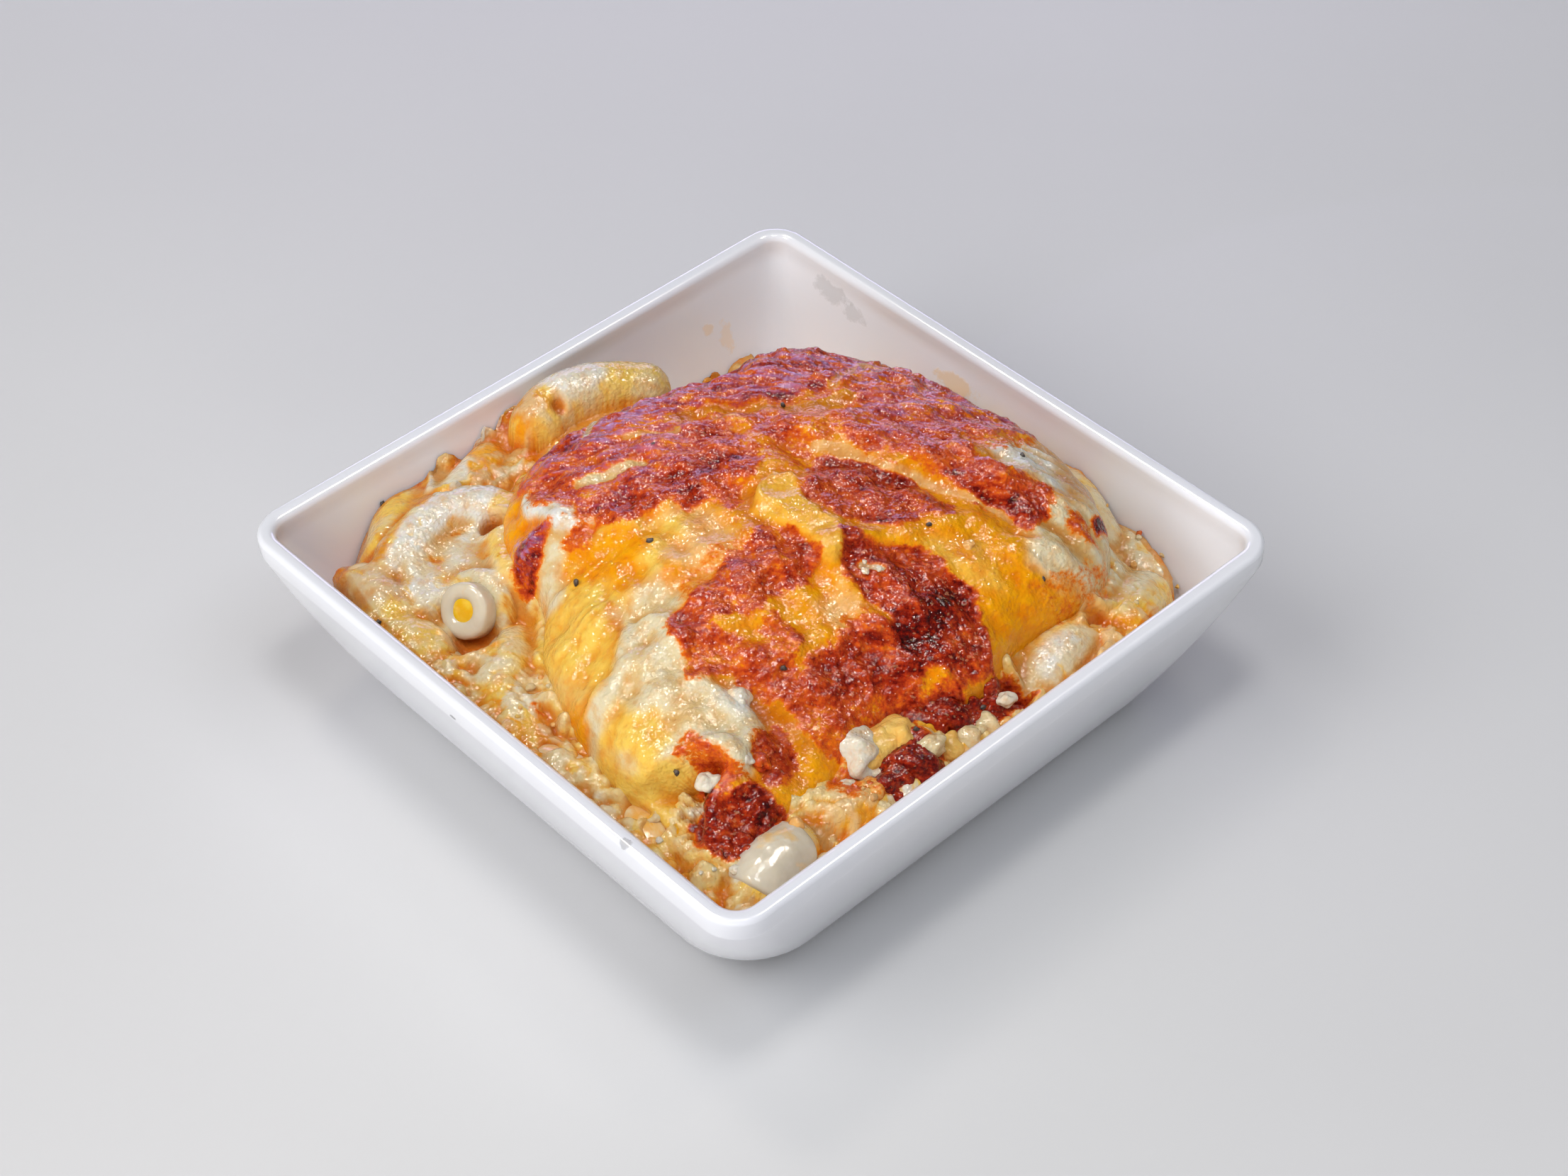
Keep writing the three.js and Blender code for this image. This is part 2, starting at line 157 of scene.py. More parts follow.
# Melted cheese under the browning: colour, softness of the edge, raggedness, outline.
MELTED = [
    ("amber", 4, 1, [(-30, 16), (-20, 15), (-17, 6), (-20, 0), (-30, -2), (-33, 6)]),
    ("peach", 2, 1.5, [(-20, 6), (-11, 5), (-9, 0), (-11, -9), (-19, -10), (-22, -2)]),
    ("gold", 1.6, 1, [
        (-27.7, 15.8), (-25.9, 13.3), (-21.2, 10.8), (-15.8, 4.3), (-11.9, 1.9), (-16.2, -1.1),
        (-19.7, -0.7), (-21.8, -3.7), (-25, -4), (-31, -9), (-42, -12), (-43, 9), (-33, 9), (-29.9, 10.8),
        (-28, 12.8)]),
    ("cheddar", 1.6, 1.6, [
        (-27, 14.5), (-25, 12), (-21, 9.5), (-16, 3.5), (-18, 1), (-22, 2), (-24, -3), (-27, -4), (-28, 2),
        (-30, 6), (-29.5, 10)]),
    ("amber", 0.6, 0.5, [(-31.5, -1), (-30, 0), (-30.5, -4), (-32.5, -7), (-33.5, -6)]),
    ("cream", 1.0, 0.8, [
        (-28.7, 17.9), (-25.7, 17.8), (-23.8, 15.6), (-26.6, 14.4), (-29.2, 13.4), (-31, 10.5),
        (-33.5, 8.5), (-34.7, 10), (-32.5, 14.5), (-30.2, 16.6)]),
    ("milk", 0.6, 0.7, [
        (-22.7, 29.2), (-20.2, 26.7), (-23.3, 24.1), (-22.9, 18.6), (-21.6, 15.6), (-20.5, 11.6),
        (-21.5, 11.8), (-23.3, 13.7), (-24.9, 14.3), (-25.9, 17), (-26.3, 23.4), (-24.7, 27.5)]),
    ("butter", 1.5, 0.6, [(-44.5, 9), (-41.5, 9), (-40.6, -8), (-43.5, -9)]),
    ("cream", 2, 1, [(-31, -3), (-23, -3), (-22, -9), (-27, -13), (-32, -11)]),
    ("amber", 2, 1, [(-8, 0), (-1, -1), (0, -6), (-3, -9), (-8, -9)]),
    ("cheddar", 3, 1, [(-15, -19), (-3, -19), (-2, -24), (-5, -31), (-14, -30)]),
    ("honey", 1.0, 0.6, HONEY_POOL),
    ("peach", 1.5, 1, [(-10.5, -24.5), (-5, -24.5), (-4.5, -29), (-10, -30)]),
    ("cheddar", 2, 1, [(-25, -19), (-14, -19), (-14, -31), (-20, -32), (-25, -28)]),
    ("cheddar", 2, 1, [
        (4, -19), (14.5, -24), (26, -20), (27, -30), (22, -38), (14, -43), (8, -41), (10, -34), (8, -27)]),
    ("honey", 1.5, 1.5, [(10, -26), (13, -26), (17, -31), (15, -38), (11, -34)]),
    ("tan", 3, 1, [(33, -19), (47, -19), (47, -33), (36, -34)]),
    ("cream", 1.6, 1, [
        (27, -31), (30.7, -31.5), (34.1, -33), (46, -32), (45.5, -40), (42.6, -47), (34, -46), (27.7, -44),
        (22.6, -40.5), (21.5, -37.5), (25, -34.5)]),
    ("milk", 1.2, 0.8, [
        (32.3, -18), (40.1, -18.6), (42.3, -20.7), (39.9, -25.6), (36.5, -32.2), (33.5, -29.2), (31.8, -25),
        (32, -21)]),
    ("cream", 1.2, 1, [
        (-31, -5), (-27, -10), (-28, -16), (-32, -20), (-29, -27), (-29, -33), (-36, -37.5), (-45, -35),
        (-48, -29), (-49, -22), (-48, -15), (-44, -11), (-38, -11), (-34, -7)]),
    ("milk", 1.5, 1, [(-44.5, -31), (-40.5, -31), (-40.5, -35), (-44.5, -35)]),
    ("milk", 1.5, 1, [(-31.5, -25.5), (-27.5, -25.5), (-27, -30), (-31.5, -30)]),
    ("gold", 1.5, 1.2, [(-46, -16), (-41, -15), (-38.5, -21), (-40, -26), (-45.5, -26)]),
    ("gold", 0.9, 0.9, [(-52, -22), (-47, -23), (-42, -28), (-38, -32), (-41, -34), (-52, -30)]),
    ("gold", 1.2, 0.6, [(-51, -14), (-46.3, -17), (-45, -33), (-47.5, -34)]),
    ("amber", 1.2, 0.8, [(-28, -27), (-24, -26), (-23, -33), (-24, -40), (-27.5, -40)]),
    ("peach", 1.5, 1, [(-9, 20), (-1, 21), (0, 18), (-6, 16.5)]),
]

# Thick slabs of melted cheese: rise, softness, outline.
SLABS = [
    (0.9, 0.7, HONEY_POOL),
    (1.0, 0.9, [
        (-31, -5), (-27, -10), (-28, -16), (-32, -20), (-29, -27), (-29, -33), (-36, -36), (-42, -32),
        (-48, -28), (-51, -22), (-50, -15), (-45, -10), (-38, -10), (-34, -7)]),
    (0.8, 0.8, [
        (-22.7, 29.2), (-20.2, 26.7), (-23.3, 24.1), (-22.9, 18.6), (-21.6, 15.6), (-20.5, 11.6),
        (-23.3, 13.7), (-24.9, 14.3), (-25.9, 17), (-26.3, 23.4), (-24.7, 27.5)]),
    (-0.8, 0.8, [
        (-1, -21), (3, -21), (10, -27.5), (9.2, -31), (9.7, -33.2), (9.9, -37.7), (6.2, -44), (1.1, -45.8),
        (-3.3, -38.2), (-4.1, -28.3), (-3.2, -22.6)]),
]

# Browned cheese: tone (0.3 orange, 0.55 red brown, 1 almost black), softness, raggedness, outline.
BROWNED = [
    (0.34, 2.5, 1.5, [
        (-24, 28), (-20, 33), (0, 41), (22, 42), (42, 30), (52, 8), (48, -18), (28, -18), (22, -10),
        (14, -3), (6, -3), (2, 1), (-8, -1), (-16, 6), (-23, 14)]),
    (0.53, 0.9, 1.3, [
        (-23.5, 26), (-22.5, 17), (-20, 13.5), (-22, 12), (-19, 8), (-15.5, 5.5), (-12, 3), (-9.5, 0.5),
        (-8, -3.5), (-5.5, -2), (-4.5, 0.5), (-2, -1.5), (2.5, 0.5), (4.5, 4), (5, 9.5), (3, 15), (0.5, 20),
        (-4, 23), (-9, 28), (-15, 31), (-22, 31)]),
    (0.64, 1.5, 1.6, [
        (-21, 12), (-19, 8), (-14, 5), (-9, 1), (-4, 1), (1, 3), (2, 9), (-5, 9), (-12, 12), (-18, 16)]),
    (0.46, 0.8, 1.0, [(-26, 14.5), (-22, 14), (-22.5, 11), (-25.5, 11)]),
    (0.58, 1.2, 1.4, [
        (-19, 32), (-12, 37), (0, 40), (16, 42), (34, 38), (46, 28), (49, 15), (38, 13.5), (26, 8),
        (17, 10.5), (12, 15), (8, 20), (0, 22.5), (-8, 25), (-15, 29)]),
    (0.56, 0.9, 1.0, [(5.5, 11), (9.5, 10.5), (11.5, 6), (11, 3), (8, 3), (6, 7)]),
    (0.5, 1.0, 1.3, [
        (15, -3.5), (16, -8), (20, -11.5), (21, -16.5), (23, -20), (24, -25), (25, -30), (27, -32),
        (30, -32), (33, -30), (31, -27), (29, -23), (27.5, -20), (31, -14), (38, -15), (46, -18), (52, -8),
        (53, 2), (48, 12), (36, 11), (27, 6), (20, 0.5)]),
    (0.68, 1.2, 1.0, [
        (22.5, -19), (26.9, -21), (28.4, -25.4), (30.6, -28.9), (31.1, -31.8), (29.2, -32.9), (26.3, -33.7),
        (25.1, -30.2), (24.2, -26.9), (22.9, -24.2)]),
    (0.56, 0.6, 1.1, [
        (9.6, -2.6), (13.9, -5.5), (15.7, -9.3), (17.2, -13.3), (18.5, -15.5), (18.6, -21.3), (19.6, -24),
        (17.4, -26.1), (15, -25.1), (13, -23), (10.3, -23.7), (7.9, -22.8), (6.4, -18.8), (4.7, -16.5),
        (2.7, -14.4), (1.3, -12.4), (1.4, -9.6), (2.1, -7.5), (5.5, -5.9)]),
    (0.66, 1.5, 1.2, [(4, -7), (9, -4), (14, -7), (17, -14), (18.5, -18), (13, -15), (8, -11), (3, -11)]),
    (0.68, 0.7, 1.0, [
        (-1, -21), (1.1, -18.8), (3, -21), (4.9, -23.1), (7.7, -25.8), (10, -27.5), (9.2, -31),
        (9.7, -33.2), (10.9, -35.3), (9.9, -37.7), (8, -40.9), (6.2, -44), (3.6, -45.6), (1.1, -45.8),
        (-0.4, -44), (-0.6, -42.1), (-2.3, -39.9), (-3.3, -38.2), (-2.8, -35.1), (-3.5, -31.7),
        (-4.1, -28.3), (-4.4, -25.2), (-3.2, -22.6)]),
    (0.56, 1.2, 1.4, [
        (-20, -29.5), (-12, -30), (-5, -29), (-3, -33), (-3, -40), (-8, -42), (-17, -41), (-22, -41),
        (-23, -35), (-22, -31)]),
    (0.46, 1.5, 1.2, [(-23.5, -31), (-20, -31), (-19, -41), (-24.5, -40)]),
    (0.66, 1.5, 1.2, [(-17.5, -30), (-13, -30), (-12.5, -35), (-17, -36)]),
    (0.66, 1.0, 1.2, [(-10, -41.5), (-2, -43), (6, -45), (5, -48), (0, -48.5), (-9, -46)]),
    (0.66, 1.5, 1.2, [(-11, -31), (-4, -31), (-4, -39), (-10, -39)]),
    (0.9, 2.0, 1.2, [(-4.2, -33), (-0.5, -32), (1.5, -36), (-1, -40), (-4, -40)]),
    (0.84, 2.0, 1.2, [(2, -33), (7, -33), (8, -37), (3, -38)]),
    (0.24, 1.2, 1.0, [(-23, -7), (-12, -7), (-7, -9), (-8, -12), (-24, -12)]),
    (0.54, 0.7, 1.3, [
        (-29, -14), (-26, -11.5), (-22, -10.5), (-17, -10), (-13.5, -9), (-10, -10.5), (-7.5, -9.5),
        (-4.5, -12), (-4, -15), (-5, -18.5), (-8.5, -21), (-12, -20), (-17, -19.5), (-22, -18),
        (-23, -16.5), (-25, -16), (-27, -17), (-29, -16.5)]),
    (0.52, 0.8, 1.3, [
        (-32.5, -21), (-30, -17), (-24.5, -17.5), (-23, -20), (-23, -22), (-21, -24), (-17.5, -26),
        (-17, -27), (-19.5, -28.5), (-18.5, -30), (-20, -33), (-22, -35), (-24, -34), (-24.5, -30),
        (-26, -27), (-27, -24), (-30, -22.5)]),
    (0.5, 0.6, 1.0, [(-19, -21.5), (-16, -21.5), (-15.5, -27), (-18.5, -27.5)]),
    (0.76, 0.8, 1.2, [
        (-48.5, -43), (-47.5, -39), (-45.5, -35), (-41, -34), (-40.5, -37.5), (-36, -38.5), (-35, -43.5),
        (-40.5, -46), (-46, -46)]),
    (0.5, 0.8, 1.0, [(-41, -27.5), (-37.5, -27), (-36.8, -37), (-41, -38)]),
    (0.58, 0.7, 1.2, [
        (-35, -39), (-34, -35), (-31, -33.5), (-27.5, -34.5), (-27.5, -38.5), (-29, -41), (-33, -41)]),
    (0.66, 0.7, 0.8, [
        (-30.4, 21), (-29, 20.6), (-26.9, 19.9), (-25.8, 18.7), (-27.1, 18.3), (-29, 17.8), (-30.3, 16.8),
        (-31.8, 15.7), (-32.6, 15.9), (-32.6, 17.4), (-32.6, 19.3), (-32, 20.4)]),
    (0.5, 0.9, 1.2, [(-24, 41), (-20, 44.5), (-11, 44.5), (-10, 40), (-17, 38.5)]),
    (0.97, 0.5, 0.5, [(27, -27.3), (28.3, -28.7), (26.6, -29.7), (25.6, -28.3)]),
    (0.5, 0.6, 0.8, [(34, -34.2), (35.2, -34.7), (35.7, -37.1), (34.2, -39.5), (32.9, -39), (32.8, -36.3)]),
    (0.97, 0.5, 0.4, [(37, -35.8), (40, -35.8), (39.2, -37.5), (35.8, -38.2), (35.9, -37.1)]),
    (0.22, 1.5, 1.0, [(19, -39.4), (23.5, -39.9), (34.2, -42.3), (32, -44.5), (22.9, -43.5), (18.7, -41)]),
    (0.78, 0.7, 1.0, [(-5, -42.5), (1, -46.5), (8, -47), (8, -51), (2, -52), (-5, -47)]),
]

# Melted cheese lying over the browning as streaks: colour, half width, points.
STREAKS = [
    ("cream", 0.8, [(-18.5, 20.3), (-14.5, 18), (-11.5, 16.5), (-10, 15)]),
    ("peach", 0.5, [(-6.3, 23), (-3.5, 20.3), (-1.6, 16.6)]),
    ("milk", 0.9, [(-9.5, 29.5), (-5, 34), (2, 41)]),
    ("milk", 0.7, [(-0.5, -24), (0.6, -25.3), (1.2, -26.2)]),
    ("amber", 0.9, [(0.5, 21), (7, 19), (11.5, 13.5), (15, 9.5), (18.5, 7), (25, 5.5)]),
    ("amber", 0.7, [(25, 9), (37, 14)]),
    ("peach", 0.6, [
        (10.9, -1.6), (14.6, -6.2), (16.1, -11.7), (18.9, -15.8), (20.6, -20.9), (23, -25.5),
        (24.7, -30.5)]),
    ("amber", 1.6, [(1, -47), (9, -47.5)]),
]

# Sauce on the pasta: colour, softness of the edge, share of the lumps kept, rise, outline.
SAUCED = [
    ("milk", 1.5, 0.05, 4.4, [
        (-41, 38), (-36, 39.5), (-30, 40), (-25, 38.5), (-22, 33), (-24, 26.5), (-30, 19), (-33.5, 18.5),
        (-35.5, 22), (-38, 26), (-42.5, 26.5), (-45.5, 28), (-46.5, 33)]),
    ("milk", 0.8, 0.1, 0.0, [
        (-43.8, 39), (-36.7, 42.5), (-30, 44), (-24.5, 42), (-20, 39), (-19, 35), (-21, 31.2),
        (-24.8, 31.2), (-26, 35.4), (-29.9, 36.3), (-34.3, 36.7), (-38.1, 35.6), (-41.1, 34.2),
        (-43.4, 30.6), (-45.6, 31.2), (-44.5, 35.8)]),
    ("amber", 0.8, 0.15, 0.9, [
        (-34, 57), (-27, 57), (-23.5, 54), (-27, 48.5), (-27, 45.8), (-34.4, 45), (-41, 41.5), (-44, 38.5),
        (-49, 42), (-48, 50)]),
    ("gold", 1.2, 0.1, 0.2, [
        (-38, 53), (-29, 54), (-28, 49), (-35, 46.5), (-41, 43.5), (-44, 44), (-43, 49)]),
    ("milk", 0.5, 0.0, 1.2, [(-23.2, 54.3), (-18.7, 49.9), (-22, 45.6), (-25.2, 46.6), (-27.1, 49.3)]),
    ("cheddar", 1.0, 0.5, 0.6, [
        (-17.1, 54), (-10, 52), (-7.5, 45), (-8.9, 40.4), (-12.4, 41), (-18, 42), (-21.5, 42.5), (-21, 45),
        (-18, 49)]),
    ("cream", 0.6, 0.3, 0.8, [(-11.5, 47.6), (-9.9, 45.1), (-14, 42.6), (-19.5, 42.6), (-16, 45)]),
    ("cheddar", 1.0, 0.5, 0.8, [(-8, 55), (-3.4, 53), (-3.5, 47), (-6, 42.5), (-9, 46)]),
    ("cream", 1.0, 0.1, 0.8, [
        (-45.5, 26), (-37, 28.5), (-33.5, 23), (-33.5, 17), (-37.5, 13.5), (-43, 14), (-46.5, 19)]),
    ("tan", 0.8, 0.2, 0.4, [(-53.5, 42), (-47, 41), (-43.5, 35.5), (-45.5, 31), (-50, 31.5), (-53, 36)]),
    ("gold", 0.8, 0.2, 0.4, [(-53, 31), (-48.7, 31.5), (-46, 26), (-47, 21), (-49.6, 17), (-53.5, 18)]),
    ("butter", 1.2, 0.3, 0.3, [
        (-31, 22.5), (-33, 17.4), (-34, 13.9), (-34.5, 8.9), (-39, 4.6), (-41.7, 8), (-41.2, 14.3),
        (-38, 15)]),
    ("cheddar", 1.5, 0.5, 0.0, [(-42, 6), (-39, 8), (-39, -8), (-43, -11), (-45, -4)]),
    ("amber", 1.2, 0.8, -0.8, [(-49, -3), (-45, -1), (-45, -5), (-48, -9), (-52, -9)]),
    ("cream", 1.2, 0.7, 0.4, [(-50, 12), (-45, 14), (-43, 8), (-48, 6)]),
    ("gold", 1.2, 0.1, 0.0, [(-9, 53), (16, 53), (18, 38), (-2, 41), (-8, 44)]),
    ("amber", 1.2, 0.1, 0.0, [(-10, 54), (-4, 54), (-3.5, 46), (-8, 43)]),
    ("butter", 1.4, 0.1, 3.2, [(-8, 46), (-2, 44.5), (6, 43), (14, 39.5), (15, 36), (4, 37), (-7, 40)]),
    ("milk", 1.4, 0.0, 0.3, [(-3, 53), (6, 52), (7.5, 45), (4, 43.5), (-2, 45)]),
    ("cream", 0.8, 0.1, 0.2, [(12, -43), (24, -42), (29, -45), (27, -50), (12, -52), (9.5, -48.5)]),
    ("milk", 0.8, 0.0, 0.2, [(14, -45), (21, -44.5), (22, -48), (14, -49)]),
    ("cream", 1.2, 0.4, 0.2, [(43, -20), (52, -14), (53, -36), (46, -44), (36, -47), (30, -44), (40, -38)]),
    ("cheddar", 1.2, 0.8, 0.3, [(24, -45), (30, -44), (33, -49), (26, -52)]),
    ("apricot", 1.0, 0.7, 0.3, [(-28, -42), (-24, -42), (-23, -48), (-28, -50)]),
]

# Painted violet reflection, mixed into the colour where the blanket turns away to the back: strength,
# softness, outline.
PAINTED_REFLECTIONS = [
    (0.8, 3, [
        (-22, 30), (-14, 37), (0, 39), (20, 38), (40, 28), (50, 8), (46, -2), (30, 7), (18, 12), (8, 21),
        (-6, 22), (-16, 25)]),
    (0.4, 3, [(-22, 16), (-16, 26), (-4, 24), (4, 16), (-2, 12), (-12, 12)]),
    (0.55, 3, [(20, 2), (34, 6), (48, 0), (47, -16), (36, -14), (28, -10), (20, -8)]),
    (0.9, 1.5, [(-33, 24), (-26, 22), (-25, 19), (-32, 19)]),
]

# ------------------------------------------------------------------ light and camera (metres, watts)

SURROUNDINGS = 0.12  # strength of the white all round
AIM = Vector((0, 0, 0.02))
WHITE = (1.0, 1.0, 1.0)
SPARK = ((0.17, 0.17), 7.4, (1.0, 0.9, 0.8), "diffuse")

# Name: place, width and height, power, colour, what doesn't see it. Soft light without a veil of gloss comes
# from those that gloss doesn't see; the sparks are small glints, the window is a cool gloss, and these light
# nothing.
LIGHTS = {
    "key": ((-0.85, 0.30, 0.95), (0.9, 0.9), None, WHITE, "glossy"),  # its power is a setting
    "low": ((-0.65, -0.7, 0.25), (0.8, 0.4), 2.4, WHITE, "glossy"),
    "front": ((0.15, -0.45, 0.95), (0.7, 0.5), 3.0, (0.86, 0.91, 1.0), "glossy"),
    "left": ((-0.95, -0.1, 0.18), (0.5, 0.3), 2.8, WHITE, "glossy"),
    "overhead": ((-0.05, -0.1, 1.1), (0.24, 0.2), 2.5, WHITE, None),
    "spark_0": ((0.05, 0.5, 0.98), *SPARK),
    "spark_1": ((0.42, -0.12, 1.0), *SPARK),
    "spark_2": ((-0.5, 0.28, 0.95), *SPARK),
    "window": ((0.72, 0.80, 0.30), (0.9, 0.36), 5.5, (0.66, 0.58, 1.0), "diffuse"),
}

CAMERA_PLACE = (-0.225976, -0.256105, 0.348556)
CAMERA_TURNS = (-42.0737, 43.9018, -1.3706)  # yaw, pitch above the table and roll, in degrees
CAMERA_LENS, CAMERA_SENSOR = 68.58, 36.0  # millimetres
FLOOR_HALF = 3000.0  # millimetres

# ------------------------------------------------------------------ numbers as whole arrays


def ease(start, end, x):
    """The smooth step: 3t^2 - 2t^3 of t = (x - start) / (end - start), held between 0 and 1."""
    t = np.clip((x - start) / (end - start), 0, 1)
    return t * t * (3 - 2 * t)


def hashed(cell, seed):
    """A number from 0 to 1 for each whole-number cell (..., 3), by multiplying and shifting its bits."""
    c = cell.astype(np.int64).astype(np.uint32)
    h = c[..., 0] * np.uint32(374761393) + c[..., 1] * np.uint32(668265263)
    h = h + c[..., 2] * np.uint32(2246822519)
    h = h + np.uint32((seed * 3266489917) % WORD)
    h = (h ^ (h >> np.uint32(15))) * np.uint32(2654435761)
    h = (h ^ (h >> np.uint32(13))) * np.uint32(3266489917)
    return (h ^ (h >> np.uint32(16))).astype(np.float64) / WORD


def noise(p, seed):
    """Value noise from -1 to 1: the hashed corners of the cell round p, blended by 6t^5 - 15t^4 + 10t^3."""
    base = np.floor(p)
    t = p - base
    t = t * t * t * (t * (t * 6 - 15) + 10)
    total = 0
    for dx in (0, 1):
        wx = t[..., 0] if dx else 1 - t[..., 0]
        for dy in (0, 1):
            wy = t[..., 1] if dy else 1 - t[..., 1]
            for dz in (0, 1):
                wz = t[..., 2] if dz else 1 - t[..., 2]
                total = total + wx * wy * wz * hashed(base + (dx, dy, dz), seed)
    return 2 * total - 1


def layered(p, size, seed, octaves, gain, offset, form):
    """Mean of form(noise) at sizes halving from size, each weaker by gain and moved on by an offset."""
    total, weight, norm = 0, 1.0, 0.0
    for octave in range(octaves):
        total = total + weight * form(noise(p * (2 ** octave / size) + offset * octave, seed + octave))
        norm += weight
        weight *= gain
    return total / norm


def fractal(p, size, seed, octaves=4, gain=0.5):
    """Layered noise of about -1 to 1."""
    return layered(p, size, seed, octaves, gain, 17.3, lambda value: value)


def ridges(p, size, seed, octaves=3):
    """Sharp crests: (1 - |noise|)^2 in layers, from 0 in the hollows to 1 on the crests."""
    return layered(p, size, seed, octaves, 0.5, 9.7, lambda value: (1 - np.abs(value)) ** 2)


def curds(p, size, seed):
    """Rounded lumps: 1 at the scattered centre of each cell, falling as a circle's arc to 0 at 0.8 of a cell;
    and a number from 0 to 1 that is the same all over a lump."""
    q = p / size
    base = np.floor(q)
    nearest, pick = np.full(q.shape[:-1], 9.0), np.zeros(q.shape[:-1])
    for dx in (-1, 0, 1):
        for dy in (-1, 0, 1):
            for dz in (-1, 0, 1):
                cell = base + (dx, dy, dz)
                spot = np.stack([hashed(cell, seed + k) for k in (0, 1, 2)], -1)
                away = ((cell + spot - q) ** 2).sum(-1)
                pick = np.where(away < nearest, spot[..., 0] * 7.3 % 1, pick)
                nearest = np.minimum(nearest, away)
    return np.sqrt(np.clip(1 - nearest / 0.62, 0, 1)), pick


def flat(x, y):
    """Points (x, y, 0) of a plan."""
    return np.stack([x, y, np.zeros_like(x)], -1)


def to_segment(x, y, a, b):
    """Distance in plan from each point to the segment from a to b."""
    dx, dy = b[0] - a[0], b[1] - a[1]
    t = np.clip(((x - a[0]) * dx + (y - a[1]) * dy) / (dx * dx + dy * dy), 0, 1)
    return np.hypot(x - a[0] - t * dx, y - a[1] - t * dy)


def to_line(x, y, points):
    """Distance in plan to a chain of segments."""
    return np.minimum.reduce([to_segment(x, y, a, b) for a, b in zip(points, points[1:])])


def inside(x, y, outline):
    """Signed distance in plan to a closed outline: to its nearest side, positive where a ray crosses an odd
    number of sides."""
    distance = np.full(np.shape(x), 1e9)
    within = np.zeros(np.shape(x), bool)
    for a, b in zip(outline, outline[1:] + outline[:1]):
        distance = np.minimum(distance, to_segment(x, y, a, b))
        crosses = (a[1] > y) != (b[1] > y)
        height = b[1] - a[1] if b[1] != a[1] else 1e-9
        within ^= crosses & (x < (b[0] - a[0]) * (y - a[1]) / height + a[0])
    return np.where(within, distance, -distance)


def linear(colour):
    """8-bit sRGB to linear light."""
    c = np.asarray(colour, float) / 255
    return np.where(c <= 0.04045, c / 12.92, ((c + 0.055) / 1.055) ** 2.4)


def rgba(colour):
    """8-bit sRGB to linear light, opaque."""
    return (*linear(colour), 1.0)


# ------------------------------------------------------------------ the bowl's own lines


def settings():
    """The scene's settings."""
    return bpy.context.scene.mac_and_cheese


def bowl_side():
    """Width of the rim in millimetres."""
    return settings().side / MM


def bowl_height():
    """Height of the rim in millimetres."""
    return settings().height / MM


def wall_inset(depth):
    """How far the outer wall has come in at a depth under the rim: an arc that starts at the wall's angle."""
    slope = np.arccos(math.cos(WALL_ANGLE) + np.maximum(depth - LIP, 0) / WALL_RADIUS)
    return WALL_RADIUS * (math.sin(WALL_ANGLE) - np.sin(slope))


def corner_at(depth):
    """Radius of the outer corners at a depth: the rim's, growing evenly under the lip."""
    return settings().rim_corner / MM + CORNER_GROWTH * np.maximum(depth - LIP, 0)


def hollow(depth, gap):
    """Half width and corner radius of the bowl's hollow at a depth, smaller by a gap."""
    thickness = settings().rim_width / MM + WALL_GROWTH * depth
    half = bowl_side() / 2 - wall_inset(depth) - thickness - gap
    return half, np.maximum(corner_at(depth) - thickness - gap, 2)


def keep_in_bowl(points, gap):
    """Moves points that are past the hollow's wall back to it, along the wall's own normal in plan."""
    depth = np.clip(bowl_height() - points[..., 2], RIM_INNER_ROUND, COVE_DEPTH)
    half, corner = hollow(depth, gap)
    middle = half - corner
    x, y = points[..., 0], points[..., 1]
    over_x, over_y = np.maximum(np.abs(x) - middle, 0), np.maximum(np.abs(y) - middle, 0)
    far = np.hypot(over_x, over_y)
    shrink = np.where(far > corner, corner / np.maximum(far, 1e-9), 1)
    out = points.copy()
    out[..., 0] = np.where(far > corner, np.sign(x) * (np.minimum(np.abs(x), middle) + over_x * shrink), x)
    out[..., 1] = np.where(far > corner, np.sign(y) * (np.minimum(np.abs(y), middle) + over_y * shrink), y)
    return out


def square_outline(count, corner_steps):
    """Steps round a rounded square: the middle of the corner's arc (as signs) and the turn of the arc."""
    signs, turns = [], []
    corners = np.array([(1, 1), (-1, 1), (-1, -1), (1, -1)])
    along = np.linspace(0, 1, count + 2)[1:-1, None]
    for quarter, (sign, following) in enumerate(zip(corners, np.roll(corners, -1, 0))):
        angle = quarter * math.pi / 2 + np.linspace(0, math.pi / 2, corner_steps + 1)
        signs += [np.repeat([sign], corner_steps + 1, 0), (1 - along) * sign + along * following]
        turns += [angle, np.full(count, angle[-1])]
    return np.concatenate(signs).astype(float), np.concatenate(turns)


# ------------------------------------------------------------------ the heap's own lines


def bed_height(x, y):
    """Level of the pasta: flat, falling in the three far corners, banked up along the back left wall."""
    left, right, back = (y - x) / math.sqrt(2), (x - y) / math.sqrt(2), (x + y) / math.sqrt(2)
    corners = 12 * ease(60, 72, left) + 14 * ease(54, 72, right) + 14 * ease(40, 70, back)
    bank = 3 * ease(38, 50, y) * ease(-48, -38, x) * ease(20, 5, x)
    return bowl_height() - BED_DROP - corners + bank


def crust_reach(degrees):
    """Reach of the blanket in a direction: a closed cubic through the named reaches."""
    a, r = CRUST_EDGE[:, 0], CRUST_EDGE[:, 1]
    a = np.concatenate([a[-2:] - 360, a, a[:3] + 360])
    r = np.concatenate([r[-2:], r, r[:3]])
    slope = np.zeros(len(a))
    slope[1:-1] = (r[2:] - r[:-2]) / (a[2:] - a[:-2])
    d = np.where(degrees < a[2], degrees + 360, degrees)
    i = np.clip(np.searchsorted(a, d, "right") - 1, 1, len(a) - 3)
    span = a[i + 1] - a[i]
    t = (d - a[i]) / span
    rise = t * t * (3 - 2 * t)
    return (r[i] * (1 - rise) + r[i + 1] * rise
            + span * (slope[i] * t * (1 - t) ** 2 - slope[i + 1] * t * t * (1 - t)))


